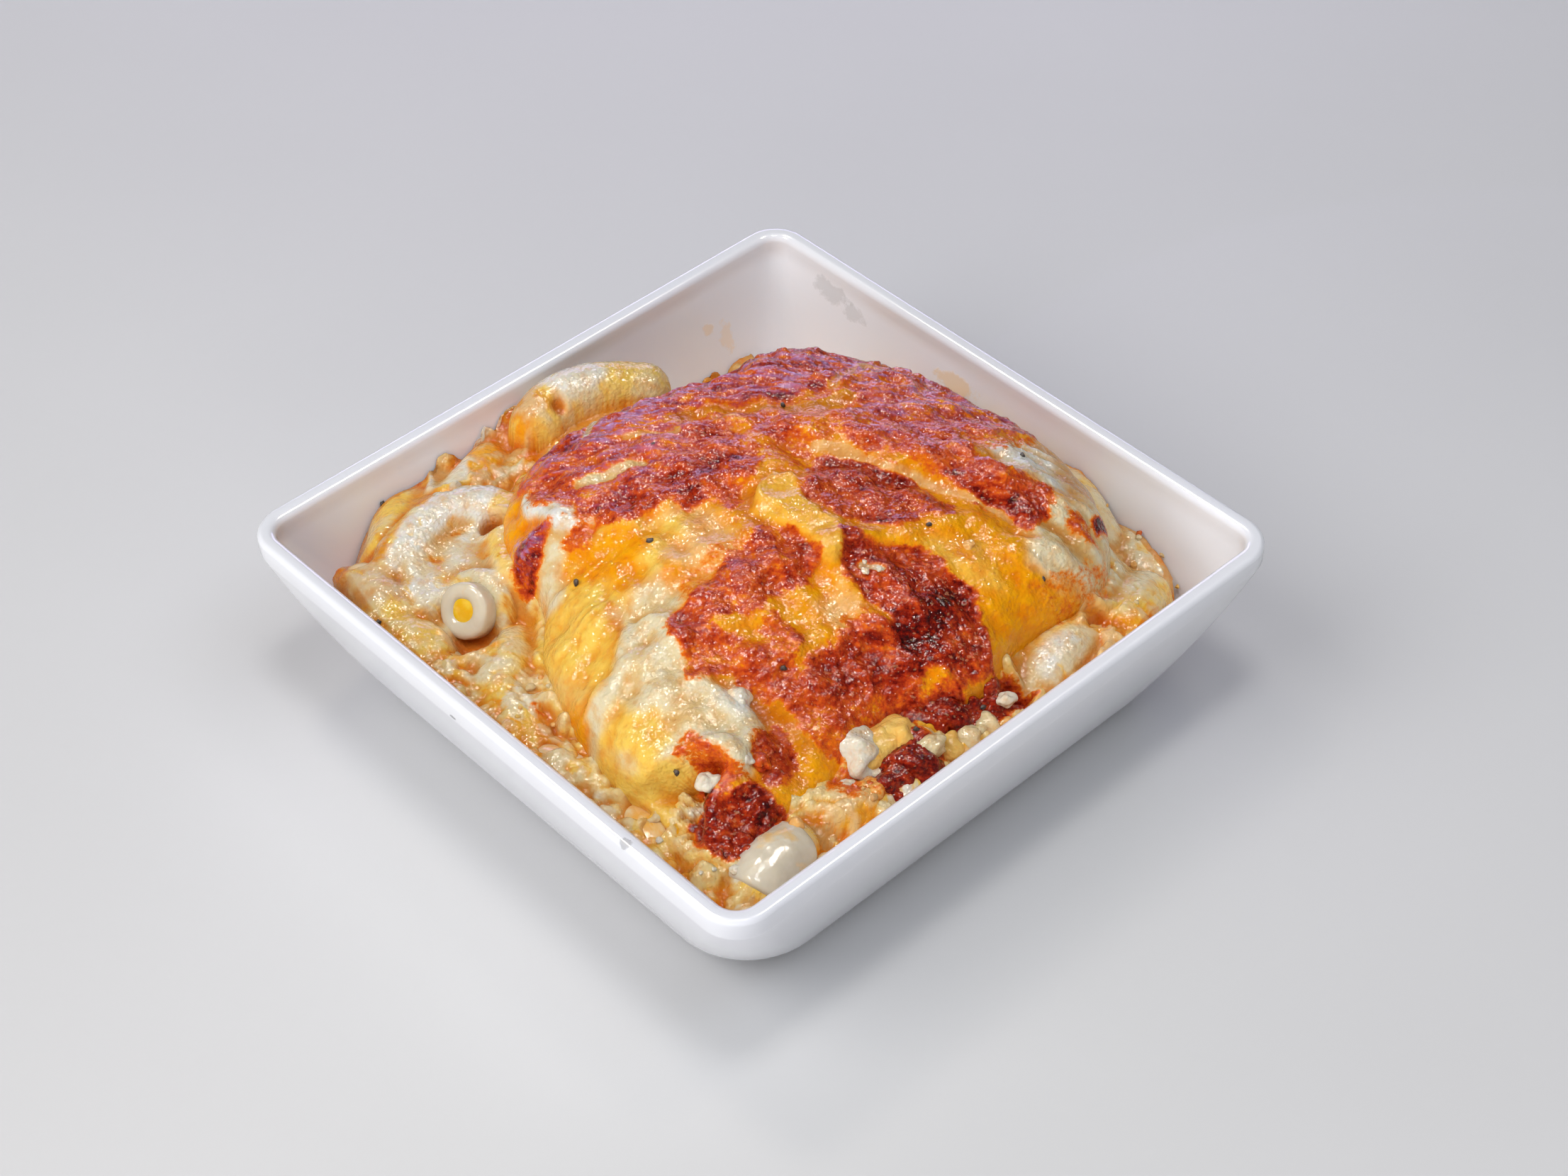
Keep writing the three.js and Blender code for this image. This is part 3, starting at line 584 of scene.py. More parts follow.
def crust_height(x, y, share):
    """The blanket's height: a superellipse in its share of the reach, under a crown with folds and
    swellings, each exp(-(d / width)^2)."""
    along, across = (x + y) / math.sqrt(2) - 15, (x - y) / math.sqrt(2)
    crown = (bowl_height() + 13 - 13 * (along / np.where(along < 0, 77, 60)) ** 2
             - np.where(across < 0, 5, 2) * (across / 45) ** 2)
    for a, b, width, rise in FOLDS:
        crown = crown + rise * np.exp(-((to_segment(x, y, a, b) / width) ** 2))
    for at, size, rise in SWELLINGS:
        crown = crown + rise * np.exp(-(((x - at[0]) / size[0]) ** 2) - ((y - at[1]) / size[1]) ** 2)
    crown = crown + 0.6 * np.sin(0.55 * x + 0.21 * y + 1.3) * np.sin(0.33 * y - 0.42 * x)
    crown = crown + 0.35 * np.sin(0.9 * y + 0.35 * x + 0.6)
    bed = bed_height(x, y)
    power = 2.6 - 0.3 * ease(0, -30, (x + y) / math.sqrt(2))
    body = (1 - np.minimum(share, 1) ** power) ** (1 / power)
    return bed + body * np.maximum(crown - bed, 0)


def plan_share(x, y):
    """How far out a point is, as a share of the blanket's reach in its direction."""
    dx, dy = x - CRUST_CENTRE[0], y - CRUST_CENTRE[1]
    return np.hypot(dx, dy) / crust_reach(np.degrees(np.arctan2(dy, dx)))


def surface_height(x, y):
    """The blanket's height over a point in plan."""
    return crust_height(x, y, plan_share(x, y))


# ------------------------------------------------------------------ painting the cheese


def laid(tint, name, cover):
    """A tint with a named cheese over it where the cover is 1."""
    return tint + cover[..., None] * (linear(CHEESE[name]) - tint)


def paint(x, y, ground):
    """Colour, browning and painted violet reflection at each point in plan, patch over patch with ragged
    edges.
    """
    p = flat(x, y)
    ragged = 1.6 * fractal(p, 4.5, 3, 5, 0.62)
    tint = np.broadcast_to(linear(ground), x.shape + (3,))
    toast = np.zeros_like(x)
    for name, soft, rag, outline in MELTED:
        tint = laid(tint, name, ease(-soft, soft, inside(x, y, outline) + rag * ragged))
    for tone, soft, rag, outline in BROWNED:
        depth = inside(x, y, outline) + 1.3 * rag * ragged
        toast = np.maximum(toast, 0.27 * ease(-1.8, 0.2, depth))
        toast += ease(-0.8 * soft, 0.8 * soft, depth) * (tone - toast)
    toast += ease(0.2, 0.45, toast) * (0.14 * fractal(p, 3.2, 13, 3) + 0.1 * fractal(p, 1.3, 17, 2))
    # Painted reflection: a violet sheen painted into the colour where the blanket turns to the back.
    painted_reflection = np.zeros_like(x)
    for strength, soft, outline in PAINTED_REFLECTIONS:
        painted_reflection = np.maximum(painted_reflection, strength * ease(-soft, soft, inside(x, y, outline) + ragged))
    for name, width, points in STREAKS:
        cover = ease(width * 1.5, width * 0.6, to_line(x, y, points) + 0.5 * ragged)
        tint = laid(tint, name, cover)
        toast *= 1 - 0.85 * cover
        painted_reflection *= 1 - 0.7 * cover
    return tint, toast, painted_reflection


def sunk(field, reach):
    """How far each point of a grid of heights lies under the mean of the eight at a reach round it."""
    near = [np.roll(field, (i * reach, j * reach), (0, 1)) for i in (-1, 0, 1) for j in (-1, 0, 1) if i or j]
    return np.clip(np.mean(near, 0) - field, -1, 1)


def painted_hollow_shade(tint, depth):
    """Painted shade and light: the cheese is painted darker and more orange in its hollows and paler on its
    crests, each channel times exp(-k depth).
    """
    return tint * np.exp(-np.clip(depth, -0.09, 0.6)[..., None] * np.array([0.3, 1.15, 2.6]))


# ------------------------------------------------------------------ meshes


def make_object(name, points, faces, material, colours=None, values=None):
    """A smooth-shaded mesh of points in millimetres, with a colour and named values on its points."""
    mesh = bpy.data.meshes.new(name)
    mesh.from_pydata((np.asarray(points) * MM).tolist(), [], [list(f) for f in faces])
    mesh.polygons.foreach_set("use_smooth", np.ones(len(mesh.polygons), bool))
    if colours is not None:
        layer = mesh.attributes.new("tint", "FLOAT_COLOR", "POINT")
        opaque = np.concatenate([colours, np.ones((len(colours), 1))], 1)
        layer.data.foreach_set("color", opaque.astype(np.float32).ravel())
    for key, value in (values or {}).items():
        layer = mesh.attributes.new(key, "FLOAT", "POINT")
        layer.data.foreach_set("value", np.asarray(value, np.float32).ravel())
    mesh.materials.append(material)
    mesh.validate()
    mesh.update()
    piece = bpy.data.objects.new(name, mesh)
    bpy.context.scene.collection.objects.link(piece)
    return piece


def finish_piece(piece, node):
    """Puts a piece in the place of a node."""
    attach(piece, "root")
    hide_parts(node)


def make_food(name, points, faces, material, tint=None, toast=None, painted_reflection=0):
    """A piece of the food; where it is cheese, with its tint, its browning and its painted violet reflection.
    """
    values = None if tint is None else {"toast": toast, "painted_reflection": np.broadcast_to(painted_reflection, len(points))}
    piece = make_object(name, points, faces, material, tint, values)
    finish_piece(piece, "macaroni_cheese")


def sheet_faces(rows, columns, wrap_rows=False, wrap_columns=False):
    """Quads of a grid whose point (i, j) is i * columns + j, closed round where asked."""
    i = np.arange(rows if wrap_rows else rows - 1)
    j = np.arange(columns if wrap_columns else columns - 1)
    i, j = np.meshgrid(i, j, indexing="ij")
    i2, j2 = (i + 1) % rows, (j + 1) % columns
    quads = np.stack([i * columns + j, i * columns + j2, i2 * columns + j2, i2 * columns + j], -1)
    return quads.reshape(-1, 4).tolist()


def grid_normals(grid):
    """Unit normals of a grid of points: the cross product of its two directions of change."""
    n = np.cross(np.gradient(grid, axis=0), np.gradient(grid, axis=1))
    return n / np.maximum(np.linalg.norm(n, axis=-1, keepdims=True), 1e-12)


def ball(rows, columns):
    """A unit sphere: rings of (sin t cos p, sin t sin p, cos t), then its two poles; and its faces."""
    t, p = np.meshgrid(np.linspace(0, math.pi, rows + 2)[1:-1],
                       np.linspace(0, 2 * math.pi, columns, endpoint=False), indexing="ij")
    points = np.stack([np.sin(t) * np.cos(p), np.sin(t) * np.sin(p), np.cos(t)], -1).reshape(-1, 3)
    points = np.concatenate([points, [[0, 0, 1], [0, 0, -1]]])
    top, bottom, last = len(points) - 2, len(points) - 1, (rows - 1) * columns
    faces = [f[::-1] for f in sheet_faces(rows, columns, wrap_columns=True)]
    faces += [(top, j, (j + 1) % columns) for j in range(columns)]
    faces += [(bottom, last + (j + 1) % columns, last + j) for j in range(columns)]
    return points, faces


# ------------------------------------------------------------------ shader pieces


class Nodes:
    """Adds nodes to a tree and joins them, with plain values set on their sockets."""

    def __init__(self, tree):
        self.tree = tree

    def add(self, kind, **inputs):
        node = self.tree.nodes.new(kind)
        self.fill(node, inputs)
        return node

    def fill(self, node, inputs):
        """Sets or joins a node's inputs, by name with _ for a space, or by number as _0."""
        for key, value in inputs.items():
            self.put(node.inputs[int(key[1:]) if key[0] == "_" else key.replace("_", " ")], value)

    def put(self, socket, value):
        if isinstance(value, bpy.types.NodeSocket):
            self.tree.links.new(value, socket)
        else:
            socket.default_value = value

    def math(self, operation, a, b=0.0, clamp=False):
        node = self.tree.nodes.new("ShaderNodeMath")
        node.operation, node.use_clamp = operation, clamp
        self.fill(node, {"_0": a, "_1": b})
        return node.outputs[0]

    def plus(self, a, b):
        return self.math("ADD", a, b)

    def times(self, a, b):
        return self.math("MULTIPLY", a, b)

    def vector(self, operation, *values):
        node = self.tree.nodes.new("ShaderNodeVectorMath")
        node.operation = operation
        self.fill(node, {f"_{k}": value for k, value in enumerate(values)})
        return node.outputs["Value" if operation == "LENGTH" else "Vector"]

    def mix(self, factor, a, b, blend="MIX"):
        node = self.tree.nodes.new("ShaderNodeMix")
        node.data_type, node.blend_type = "RGBA", blend
        for socket, value in zip([s for s in node.inputs if s.enabled], (factor, a, b)):
            self.put(socket, value)
        return next(s for s in node.outputs if s.enabled)

    def remap(self, value, low, high, to_low=0.0, to_high=1.0):
        return self.add("ShaderNodeMapRange", Value=value, From_Min=low, From_Max=high, To_Min=to_low,
                        To_Max=to_high).outputs[0]

    def noise(self, vector, scale, detail=3.0, roughness=0.55, distortion=0.0):
        return self.add("ShaderNodeTexNoise", Vector=vector, Scale=scale, Detail=detail, Roughness=roughness,
                        Distortion=distortion).outputs[0]

    def stretched(self, vector, degrees, factor):
        """A place turned about Z, with its first direction drawn out."""
        node = self.add("ShaderNodeMapping", Vector=vector, Rotation=(0, 0, math.radians(degrees)),
                        Scale=(factor, 1, 1))
        node.vector_type = "TEXTURE"
        return node.outputs[0]

    def bump(self, height, distance, strength, **more):
        node = self.add("ShaderNodeBump", Height=height, Distance=distance, Strength=strength, **more)
        return node.outputs["Normal"]

    def attribute(self, name, kind="Fac"):
        node = self.tree.nodes.new("ShaderNodeAttribute")
        node.attribute_name = name
        return node.outputs[kind]

    def ramp(self, value, *stops):
        node = self.add("ShaderNodeValToRGB", Fac=value)
        elements = node.color_ramp.elements
        while len(elements) < len(stops):
            elements.new(0.5)
        for element, (place, colour) in zip(elements, stops):
            element.position, element.color = place, rgba(colour)
        return node.outputs["Color"]

    def group(self, tree, **inputs):
        node = self.tree.nodes.new("ShaderNodeGroup")
        node.node_tree = tree
        self.fill(node, inputs)
        return node.outputs


def new_material(name):
    """A material, its nodes, its shader and the place on the object."""
    material = bpy.data.materials.new(name)
    material.use_nodes = True
    n = Nodes(material.node_tree)
    place = n.add("ShaderNodeTexCoord").outputs["Object"]
    return material, n, material.node_tree.nodes["Principled BSDF"], place


def new_group(name, inputs, outputs):
    """A shader node group with inputs (name, kind of socket, default) and outputs that are plain numbers."""
    tree = bpy.data.node_groups.new(name, "ShaderNodeTree")
    for label, kind, default in inputs:
        socket = tree.interface.new_socket(label, in_out="INPUT", socket_type=f"NodeSocket{kind}")
        if default is not None:
            socket.default_value = default
    for label in outputs:
        tree.interface.new_socket(label, in_out="OUTPUT", socket_type="NodeSocketFloat")
    source = tree.nodes.new("NodeGroupInput").outputs
    return tree, Nodes(tree), source, tree.nodes.new("NodeGroupOutput")


def grain_group():
    """Oily grain: a height of soft lumps and fine beads, a slow variation, and round droplets, each the cap
    sqrt(1 - (d / r)^2) round a scattered middle."""
    found = bpy.data.node_groups.get("oily_grain")
    if found:
        return found
    tree, n, source, sink = new_group(
        "oily_grain", [("Vector", "Vector", None), ("Scale", "Float", 900.0), ("Beads", "Float", 0.5)],
        ["Height", "Variation", "Droplets"])
    vector, scale = source["Vector"], source["Scale"]
    lumps = n.noise(vector, scale, 1.5, 0.5)
    fine = n.noise(vector, n.times(scale, 2.2), 1.0, 0.5)
    cells = n.add("ShaderNodeTexVoronoi", Vector=vector, Scale=n.times(scale, 1.3))
    cells.feature = "SMOOTH_F1"
    beads = n.math("SUBTRACT", 1.0, cells.outputs["Distance"])
    height = n.plus(n.plus(lumps, n.times(beads, source["Beads"])), n.times(fine, 0.2))
    variation = n.noise(vector, n.times(scale, 0.22), 4.0, 0.6)
    turned = n.stretched(vector, -46, 1.6)
    bend = n.add("ShaderNodeTexNoise", Vector=turned, Scale=n.times(scale, 1.5), Detail=1.0).outputs["Color"]
    bent = n.vector("MULTIPLY_ADD", bend, (0.0006, 0.0006, 0.0006), turned)
    drops = n.add("ShaderNodeTexVoronoi", Vector=bent, Scale=n.times(scale, 1.4)).outputs
    apart = n.times(drops["Distance"], n.remap(drops["Color"], 0.3, 0.9, 7.0, 1.8))
    apart = n.times(apart, n.remap(variation, 0.4, 0.56, 1.6, 0.8))
    cap = n.math("SQRT", n.math("SUBTRACT", 1.0, n.times(apart, apart), clamp=True))
    n.fill(sink, {"Height": height, "Variation": variation, "Droplets": cap})
    return tree


def cheese_material():
    """Melted cheese: the painted tint, browned through a ramp by the toast value, with a painted violet
    reflection and painted glints mixed into its colour.
    """
    found = bpy.data.materials.get("melted_cheese")
    if found:
        return found
    s = settings()
    material, n, shader, place = new_material("melted_cheese")
    grain = n.group(grain_group(), Vector=place, Scale=1250.0, Beads=0.5)
    fine = n.noise(place, 1500.0, 3.0, 0.6)
    broad = n.noise(place, 420.0, 3.0, 0.6)
    drawn = n.noise(n.stretched(place, -52, 4.5), 1100.0, 3.0, 0.6)
    toast = n.attribute("toast")
    wobble = n.plus(n.remap(fine, 0.3, 0.7, -0.12, 0.12), n.remap(broad, 0.3, 0.7, -0.09, 0.09))
    wobble = n.plus(wobble, n.remap(drawn, 0.3, 0.7, -0.13, 0.13))
    level = n.plus(toast, n.times(wobble, n.remap(toast, 0.05, 0.35, 0.2, 1.0)))
    browned = n.ramp(level, (0.0, (236, 160, 34)), (0.22, (226, 134, 12)), (0.34, (214, 106, 14)),
                     (0.46, (202, 84, 22)), (0.58, (182, 62, 20)), (0.72, (150, 36, 10)),
                     (0.86, (104, 12, 4)), (1.0, (52, 8, 8)))
    tint = n.attribute("tint", "Color")
    mottle = n.mix(n.remap(grain["Variation"], 0.5, 0.75, 0.0, 0.03), tint, (*s.cream, 1.0))
    mottle = n.mix(n.remap(broad, 0.48, 0.72, 0.0, 0.6), mottle, (*s.cheddar, 1.0), "MULTIPLY")
    colour = n.mix(n.remap(level, 0.14, 0.32), mottle, browned)
    # Painted reflection: the violet sheen is mixed into the base colour along the drawn streaks.
    painted_reflection = n.times(n.attribute("painted_reflection"), n.remap(drawn, 0.45, 0.6, 0.0, 0.5))
    colour = n.mix(painted_reflection, colour, (*s.painted_reflection_colour, 1.0))
    # Painted glints: pale dots on the droplets, mixed into the base colour, mostly where the cheese is
    # browned.
    painted_glints = n.times(n.remap(grain["Droplets"], 0.3, 0.9), n.remap(toast, 0.2, 0.45, 0.04, 0.2))
    bump = n.bump(grain["Height"], 0.001, n.remap(toast, 0.1, 0.5, 0.3, 0.42))
    n.fill(shader, {"Base_Color": n.mix(painted_glints, colour, rgba((255, 196, 140))),
                    "Roughness": n.remap(grain["Variation"], 0.3, 0.7, 0.05, 0.1),
                    "Normal": n.bump(grain["Droplets"], 0.0001, 0.7, Normal=bump),
                    "Coat_Weight": 0.1, "Coat_Roughness": 0.05, "Subsurface_Weight": 0.15,
                    "Subsurface_Radius": (1.0, 0.5, 0.12), "Subsurface_Scale": 0.002, "IOR": 1.4,
                    "Specular_IOR_Level": 0.36})
    return material


def pasta_material(name, body, film, film_share):
    """Cooked pasta: a pale translucent body under a broken film of sauce."""
    found = bpy.data.materials.get(name)
    if found:
        return found
    material, n, shader, place = new_material(name)
    grain = n.group(grain_group(), Vector=place, Scale=420.0, Beads=0.3)
    patches = n.noise(place, 170.0, 4.0, 0.6, 0.4)
    cover = n.remap(patches, 0.62 - 0.25 * film_share, 0.74 - 0.25 * film_share)
    colour = n.mix(cover, rgba(body), rgba(film))
    colour = n.mix(n.remap(grain["Variation"], 0.45, 0.75, 0.0, 0.5), colour, rgba((226, 216, 196)))
    n.fill(shader, {"Base_Color": colour, "Roughness": n.remap(patches, 0.3, 0.7, 0.16, 0.3),
                    "Normal": n.bump(grain["Height"], 0.001, 0.3),
                    "Coat_Weight": 0.3, "Coat_Roughness": 0.06, "Subsurface_Weight": 0.25,
                    "Subsurface_Radius": (1.0, 0.7, 0.4), "Subsurface_Scale": 0.003, "IOR": 1.42})
    return material


def mark_group():
    """A ragged spot: 1 inside an ellipsoid round Centre with half widths Size, 0 outside."""
    tree, n, source, sink = new_group(
        "ragged_spot",
        [("Vector", "Vector", None), ("Centre", "Vector", (0, 0, 0)),
         ("Size", "Vector", (0.002, 0.002, 0.002)), ("Raggedness", "Float", 0.8), ("Grain", "Float", 700.0)],
        ["Mask"])
    away = n.vector("SUBTRACT", source["Vector"], source["Centre"])
    length = n.vector("LENGTH", n.vector("DIVIDE", away, source["Size"]))
    ragged = n.math("SUBTRACT", n.noise(source["Vector"], source["Grain"], 4.0, 0.65), 0.5)
    edge = n.plus(length, n.times(ragged, n.times(source["Raggedness"], 2.0)))
    n.fill(sink, {"Mask": n.remap(edge, 1.0, 0.7)})
    return tree


# ------------------------------------------------------------------ settings


def colour_property(name, description, value):
    return FloatVectorProperty(name=name, description=description, subtype="COLOR", size=3, min=0, max=1,
                               default=tuple(linear(value)))


def length_property(name, description, value):
    return FloatProperty(name=name, description=description, unit="LENGTH", min=0, default=value * MM)


CAD_LOW, CAD_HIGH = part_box("bowl")


class MacAndCheeseSettings(bpy.types.PropertyGroup):
    """Sizes and colours of the bowl and the food."""

    side: FloatProperty(name="Side", description="Outer width of the bowl's rim", unit="LENGTH",
                        default=CAD_HIGH.x - CAD_LOW.x)
    height: FloatProperty(name="Height", description="Height of the bowl's rim", unit="LENGTH",
                          default=CAD_HIGH.z - CAD_LOW.z)
    rim_width: length_property("Rim width", "Thickness of the wall at the rim", 3)
    rim_corner: length_property("Rim corner", "Radius of the rim's corners, seen from above", 6.4)
    relief: FloatProperty(name="Relief", default=1.0, min=0, max=3,
                          description="Depth of the wrinkles in the browned cheese, as a factor")
    blanket_grid: IntProperty(name="Blanket grid", description="Points along each side of the blanket's grid",
                              default=310, min=20, max=310)
    glaze: colour_property("Glaze", "Colour of the bowl", (230, 230, 234))
    cheddar: colour_property("Cheddar", "Stain of deep yellow cheese", (250, 196, 120))
    cream: colour_property("Cream", "Colour of the palest melted cheese", (238, 214, 168))
    # Colour of the violet reflection that is painted into the browned cheese's colour.
    painted_reflection_colour: colour_property("Sheen", "Cool gloss on the browned cheese that turns away", (178, 136, 188))
    yolk: colour_property("Sauce", "Colour of the liquid sauce", (236, 176, 12))
    floor_colour: colour_property("Floor", "Colour of the floor", (204, 204, 205))
    key_power: FloatProperty(name="Key light", description="Power of the main light", subtype="POWER",
                             default=9.6)


# ------------------------------------------------------------------ pieces


class MAC_OT_stage(bpy.types.Operator):
    """Makes the floor, the lights, the surroundings and the camera"""

    bl_idname = "mac.stage"
    bl_label = "Stage"

    def execute(self, context):
        s = settings()
        scene = context.scene
        material, n, shader, place = new_material("floor_paint")
        cloud = n.remap(n.noise(place, 4.0, 3.0, 0.5), 0.35, 0.7)
        colour = n.mix(cloud, (*s.floor_colour, 1.0), (*(c * 0.93 for c in s.floor_colour), 1.0))
        n.fill(shader, {"Base_Color": colour, "Roughness": 0.55})
        across = np.linspace(-FLOOR_HALF, FLOOR_HALF, 9)
        x, y = np.meshgrid(across, across, indexing="ij")
        floor = make_object("floor", flat(x, y).reshape(-1, 3), sheet_faces(9, 9), material)
        floor.data.flip_normals()

        world = bpy.data.worlds.new("surroundings")
        scene.world = world
        world.use_nodes = True
        Nodes(world.node_tree).fill(world.node_tree.nodes["Background"],
                                    {"Color": (*WHITE, 1.0), "Strength": SURROUNDINGS})

        for name, (place, size, power, colour, blind) in LIGHTS.items():
            light = bpy.data.lights.new(name, "AREA")
            light.shape, light.size, light.size_y = "RECTANGLE", size[0], size[1]
            light.energy, light.color = power or s.key_power, colour
            lamp = bpy.data.objects.new(name, light)
            turn = (AIM - Vector(place)).to_track_quat("-Z", "Y").to_matrix().to_4x4()
            lamp.matrix_world = Matrix.Translation(place) @ turn
            scene.collection.objects.link(lamp)
            if blind:
                setattr(lamp, f"visible_{blind}", False)

        camera = bpy.data.cameras.new("camera")
        camera.sensor_width, camera.lens = CAMERA_SENSOR, CAMERA_LENS
        camera.clip_start, camera.clip_end = 0.02, 20
        yaw, pitch, roll = (math.radians(a) for a in CAMERA_TURNS)
        back = Vector((math.sin(yaw) * math.cos(pitch), -math.cos(yaw) * math.cos(pitch), math.sin(pitch)))
        level_right = Vector((math.cos(yaw), math.sin(yaw), 0))
        level_up = back.cross(level_right)
        right = level_right * math.cos(roll) + level_up * math.sin(roll)
        up = level_up * math.cos(roll) - level_right * math.sin(roll)
        eye = bpy.data.objects.new("camera", camera)
        eye.matrix_world = (Matrix.Translation(CAMERA_PLACE)
                            @ Matrix((right, up, back)).transposed().to_4x4())
        scene.collection.objects.link(eye)
        scene.camera = eye
        scene.view_settings.view_transform = "Standard"
        scene.view_settings.look = "None"
        return {"FINISHED"}


class MAC_OT_bowl(bpy.types.Operator):
    """Makes the glazed bowl: one profile from foot to rim to inner floor, carried round a square"""

    bl_idname = "mac.bowl"
    bl_label = "Bowl"

    # Marks in the glaze: centre and half widths in millimetres, colour, strength, grain.
    MARKS = [
        ((39.4, 51.0, 19.0), (1.6, 1.5, 4.5), (236, 205, 160), 0.4, 600.0),
        ((36.0, 52.0, 22.0), (1.3, 1.5, 1.3), (236, 205, 160), 0.45, 600.0),
        ((53.2, 9.0, 25.5), (1.2, 5.0, 2.0), (232, 200, 146), 0.55, 450.0),
        ((53.8, 40.0, 27.5), (1.5, 4.5, 2.0), (190, 190, 192), 0.5, 500.0),
        ((53.6, 34.0, 26.0), (1.5, 3.0, 1.6), (196, 196, 198), 0.5, 500.0),
        ((53.2, -43.3, 32.0), (1.2, 0.9, 0.8), (150, 150, 152), 0.7, 900.0),
        ((-57.5, 4.4, 28.9), (0.8, 0.9, 0.35), (130, 130, 132), 0.8, 900.0),
        ((-56.8, -34.2, 31.8), (1.0, 1.0, 0.8), (160, 160, 162), 0.7, 900.0),
    ]

    def profile(self):
        """Rows of (half width, corner radius, height), from the underside's middle to the floor's."""
        s = settings()
        side, height, rim = bowl_side(), bowl_height(), s.rim_width / MM
        turn = math.acos(math.cos(WALL_ANGLE) + (UNDERCUT - LIP) / WALL_RADIUS)
        round_radius = (height - UNDERCUT) / (1 - math.cos(turn))
        foot_half = side / 2 - float(wall_inset(UNDERCUT)) - round_radius * math.sin(turn)
        foot_corner = float(corner_at(height))
        rows = []
        for share in np.linspace(0.05, 1, 6):
            half = (foot_half - FOOT_WIDTH - FOOT_RECESS) * share
            rows.append((half, min(foot_corner - FOOT_WIDTH, half), FOOT_RECESS))
        for a in np.linspace(0, math.pi / 2, 5)[1:]:
            rows.append((foot_half - FOOT_WIDTH - FOOT_RECESS * (1 - math.sin(a)), foot_corner - FOOT_WIDTH,
                         FOOT_RECESS * math.cos(a)))
        for a in np.linspace(0, turn, 22):
            depth = height - round_radius * (1 - math.cos(a))
            rows.append((foot_half + round_radius * math.sin(a), float(corner_at(depth)), height - depth))
        for depth in np.linspace(UNDERCUT, LIP, 24)[1:]:
            rows.append((side / 2 - float(wall_inset(depth)), float(corner_at(depth)), height - depth))
        corner = s.rim_corner / MM
        for a in np.linspace(0, math.pi / 2, 9):
            inset = RIM_OUTER_ROUND * (1 - math.cos(a))
            rows.append((side / 2 - inset, corner - inset, height - RIM_OUTER_ROUND * (1 - math.sin(a))))
        for a in np.linspace(math.pi / 2, 0, 9):
            inset = rim - RIM_INNER_ROUND * (1 - math.cos(a))
            rows.append((side / 2 - inset, corner - inset, height - RIM_INNER_ROUND * (1 - math.sin(a))))
        for depth in np.linspace(RIM_INNER_ROUND, COVE_DEPTH, 22)[1:]:
            half, inner = hollow(depth, 0)
            rows.append((float(half), float(inner), height - depth))
        drop = height - COVE_DEPTH - FLOOR_LEVEL
        half, inner = hollow(COVE_DEPTH, 0)
        for a in np.linspace(0, math.pi / 2, 9)[1:]:
            run = COVE_RUN * drop * (1 - math.cos(a))
            rows.append((float(half) - run, max(float(inner) - run, 2),
                         height - COVE_DEPTH - drop * math.sin(a)))
        last = rows[-1]
        for share in np.linspace(1, 0.05, 7)[1:]:
            rows.append((last[0] * share, min(last[1], last[0] * share), FLOOR_LEVEL))
        return np.array(rows)

    def execute(self, context):
        rows = self.profile()
        signs, turns = square_outline(24, 12)
        half, corner, level = (rows[:, k][:, None] for k in range(3))
        middle = half - corner
        x = middle * signs[:, 0] + corner * np.cos(turns)
        y = middle * signs[:, 1] + corner * np.sin(turns)
        grid = np.stack([x, y, np.broadcast_to(level, x.shape)], -1)
        count = len(turns)
        points = np.concatenate([grid.reshape(-1, 3), [[0, 0, FOOT_RECESS], [0, 0, FLOOR_LEVEL]]])
        faces = sheet_faces(len(rows), count, wrap_columns=True)
        low, high, top = len(points) - 2, len(points) - 1, (len(rows) - 1) * count
        faces += [(low, (k + 1) % count, k) for k in range(count)]
        faces += [(high, top + k, top + (k + 1) % count) for k in range(count)]
        bowl = make_object("glazed_bowl", points, faces, self.glaze())
        finish_piece(bowl, "bowl")
        return {"FINISHED"}

    def glaze(self):
        """White glaze with a slow unevenness, grey marks and a few smears of food."""
        material, n, shader, place = new_material("white_glaze")
        spot = mark_group()
        slow = n.noise(place, 28.0, 3.0, 0.5)
        colour = n.mix(n.remap(slow, 0.35, 0.7, 0.0, 0.5), (*settings().glaze, 1.0), rgba((226, 227, 235)))
        rough = n.remap(slow, 0.3, 0.7, 0.12, 0.2)
        height = n.times(slow, 0.4)
        for centre, size, tone, strength, grain in self.MARKS:
            mask = n.group(spot, Vector=place, Centre=tuple(MM * c for c in centre),
                           Size=tuple(MM * c for c in size), Raggedness=0.9, Grain=grain)["Mask"]
            mask = n.times(mask, strength)
            colour = n.mix(mask, colour, rgba(tone))
            rough = n.plus(rough, n.times(mask, 0.15))
            height = n.plus(height, n.times(mask, 0.5))
        n.fill(shader, {"Base_Color": colour, "Roughness": rough, "Normal": n.bump(height, 0.0006, 0.25),
                        "IOR": 1.5, "Coat_Weight": 0.3, "Coat_Roughness": 0.05})
        return material


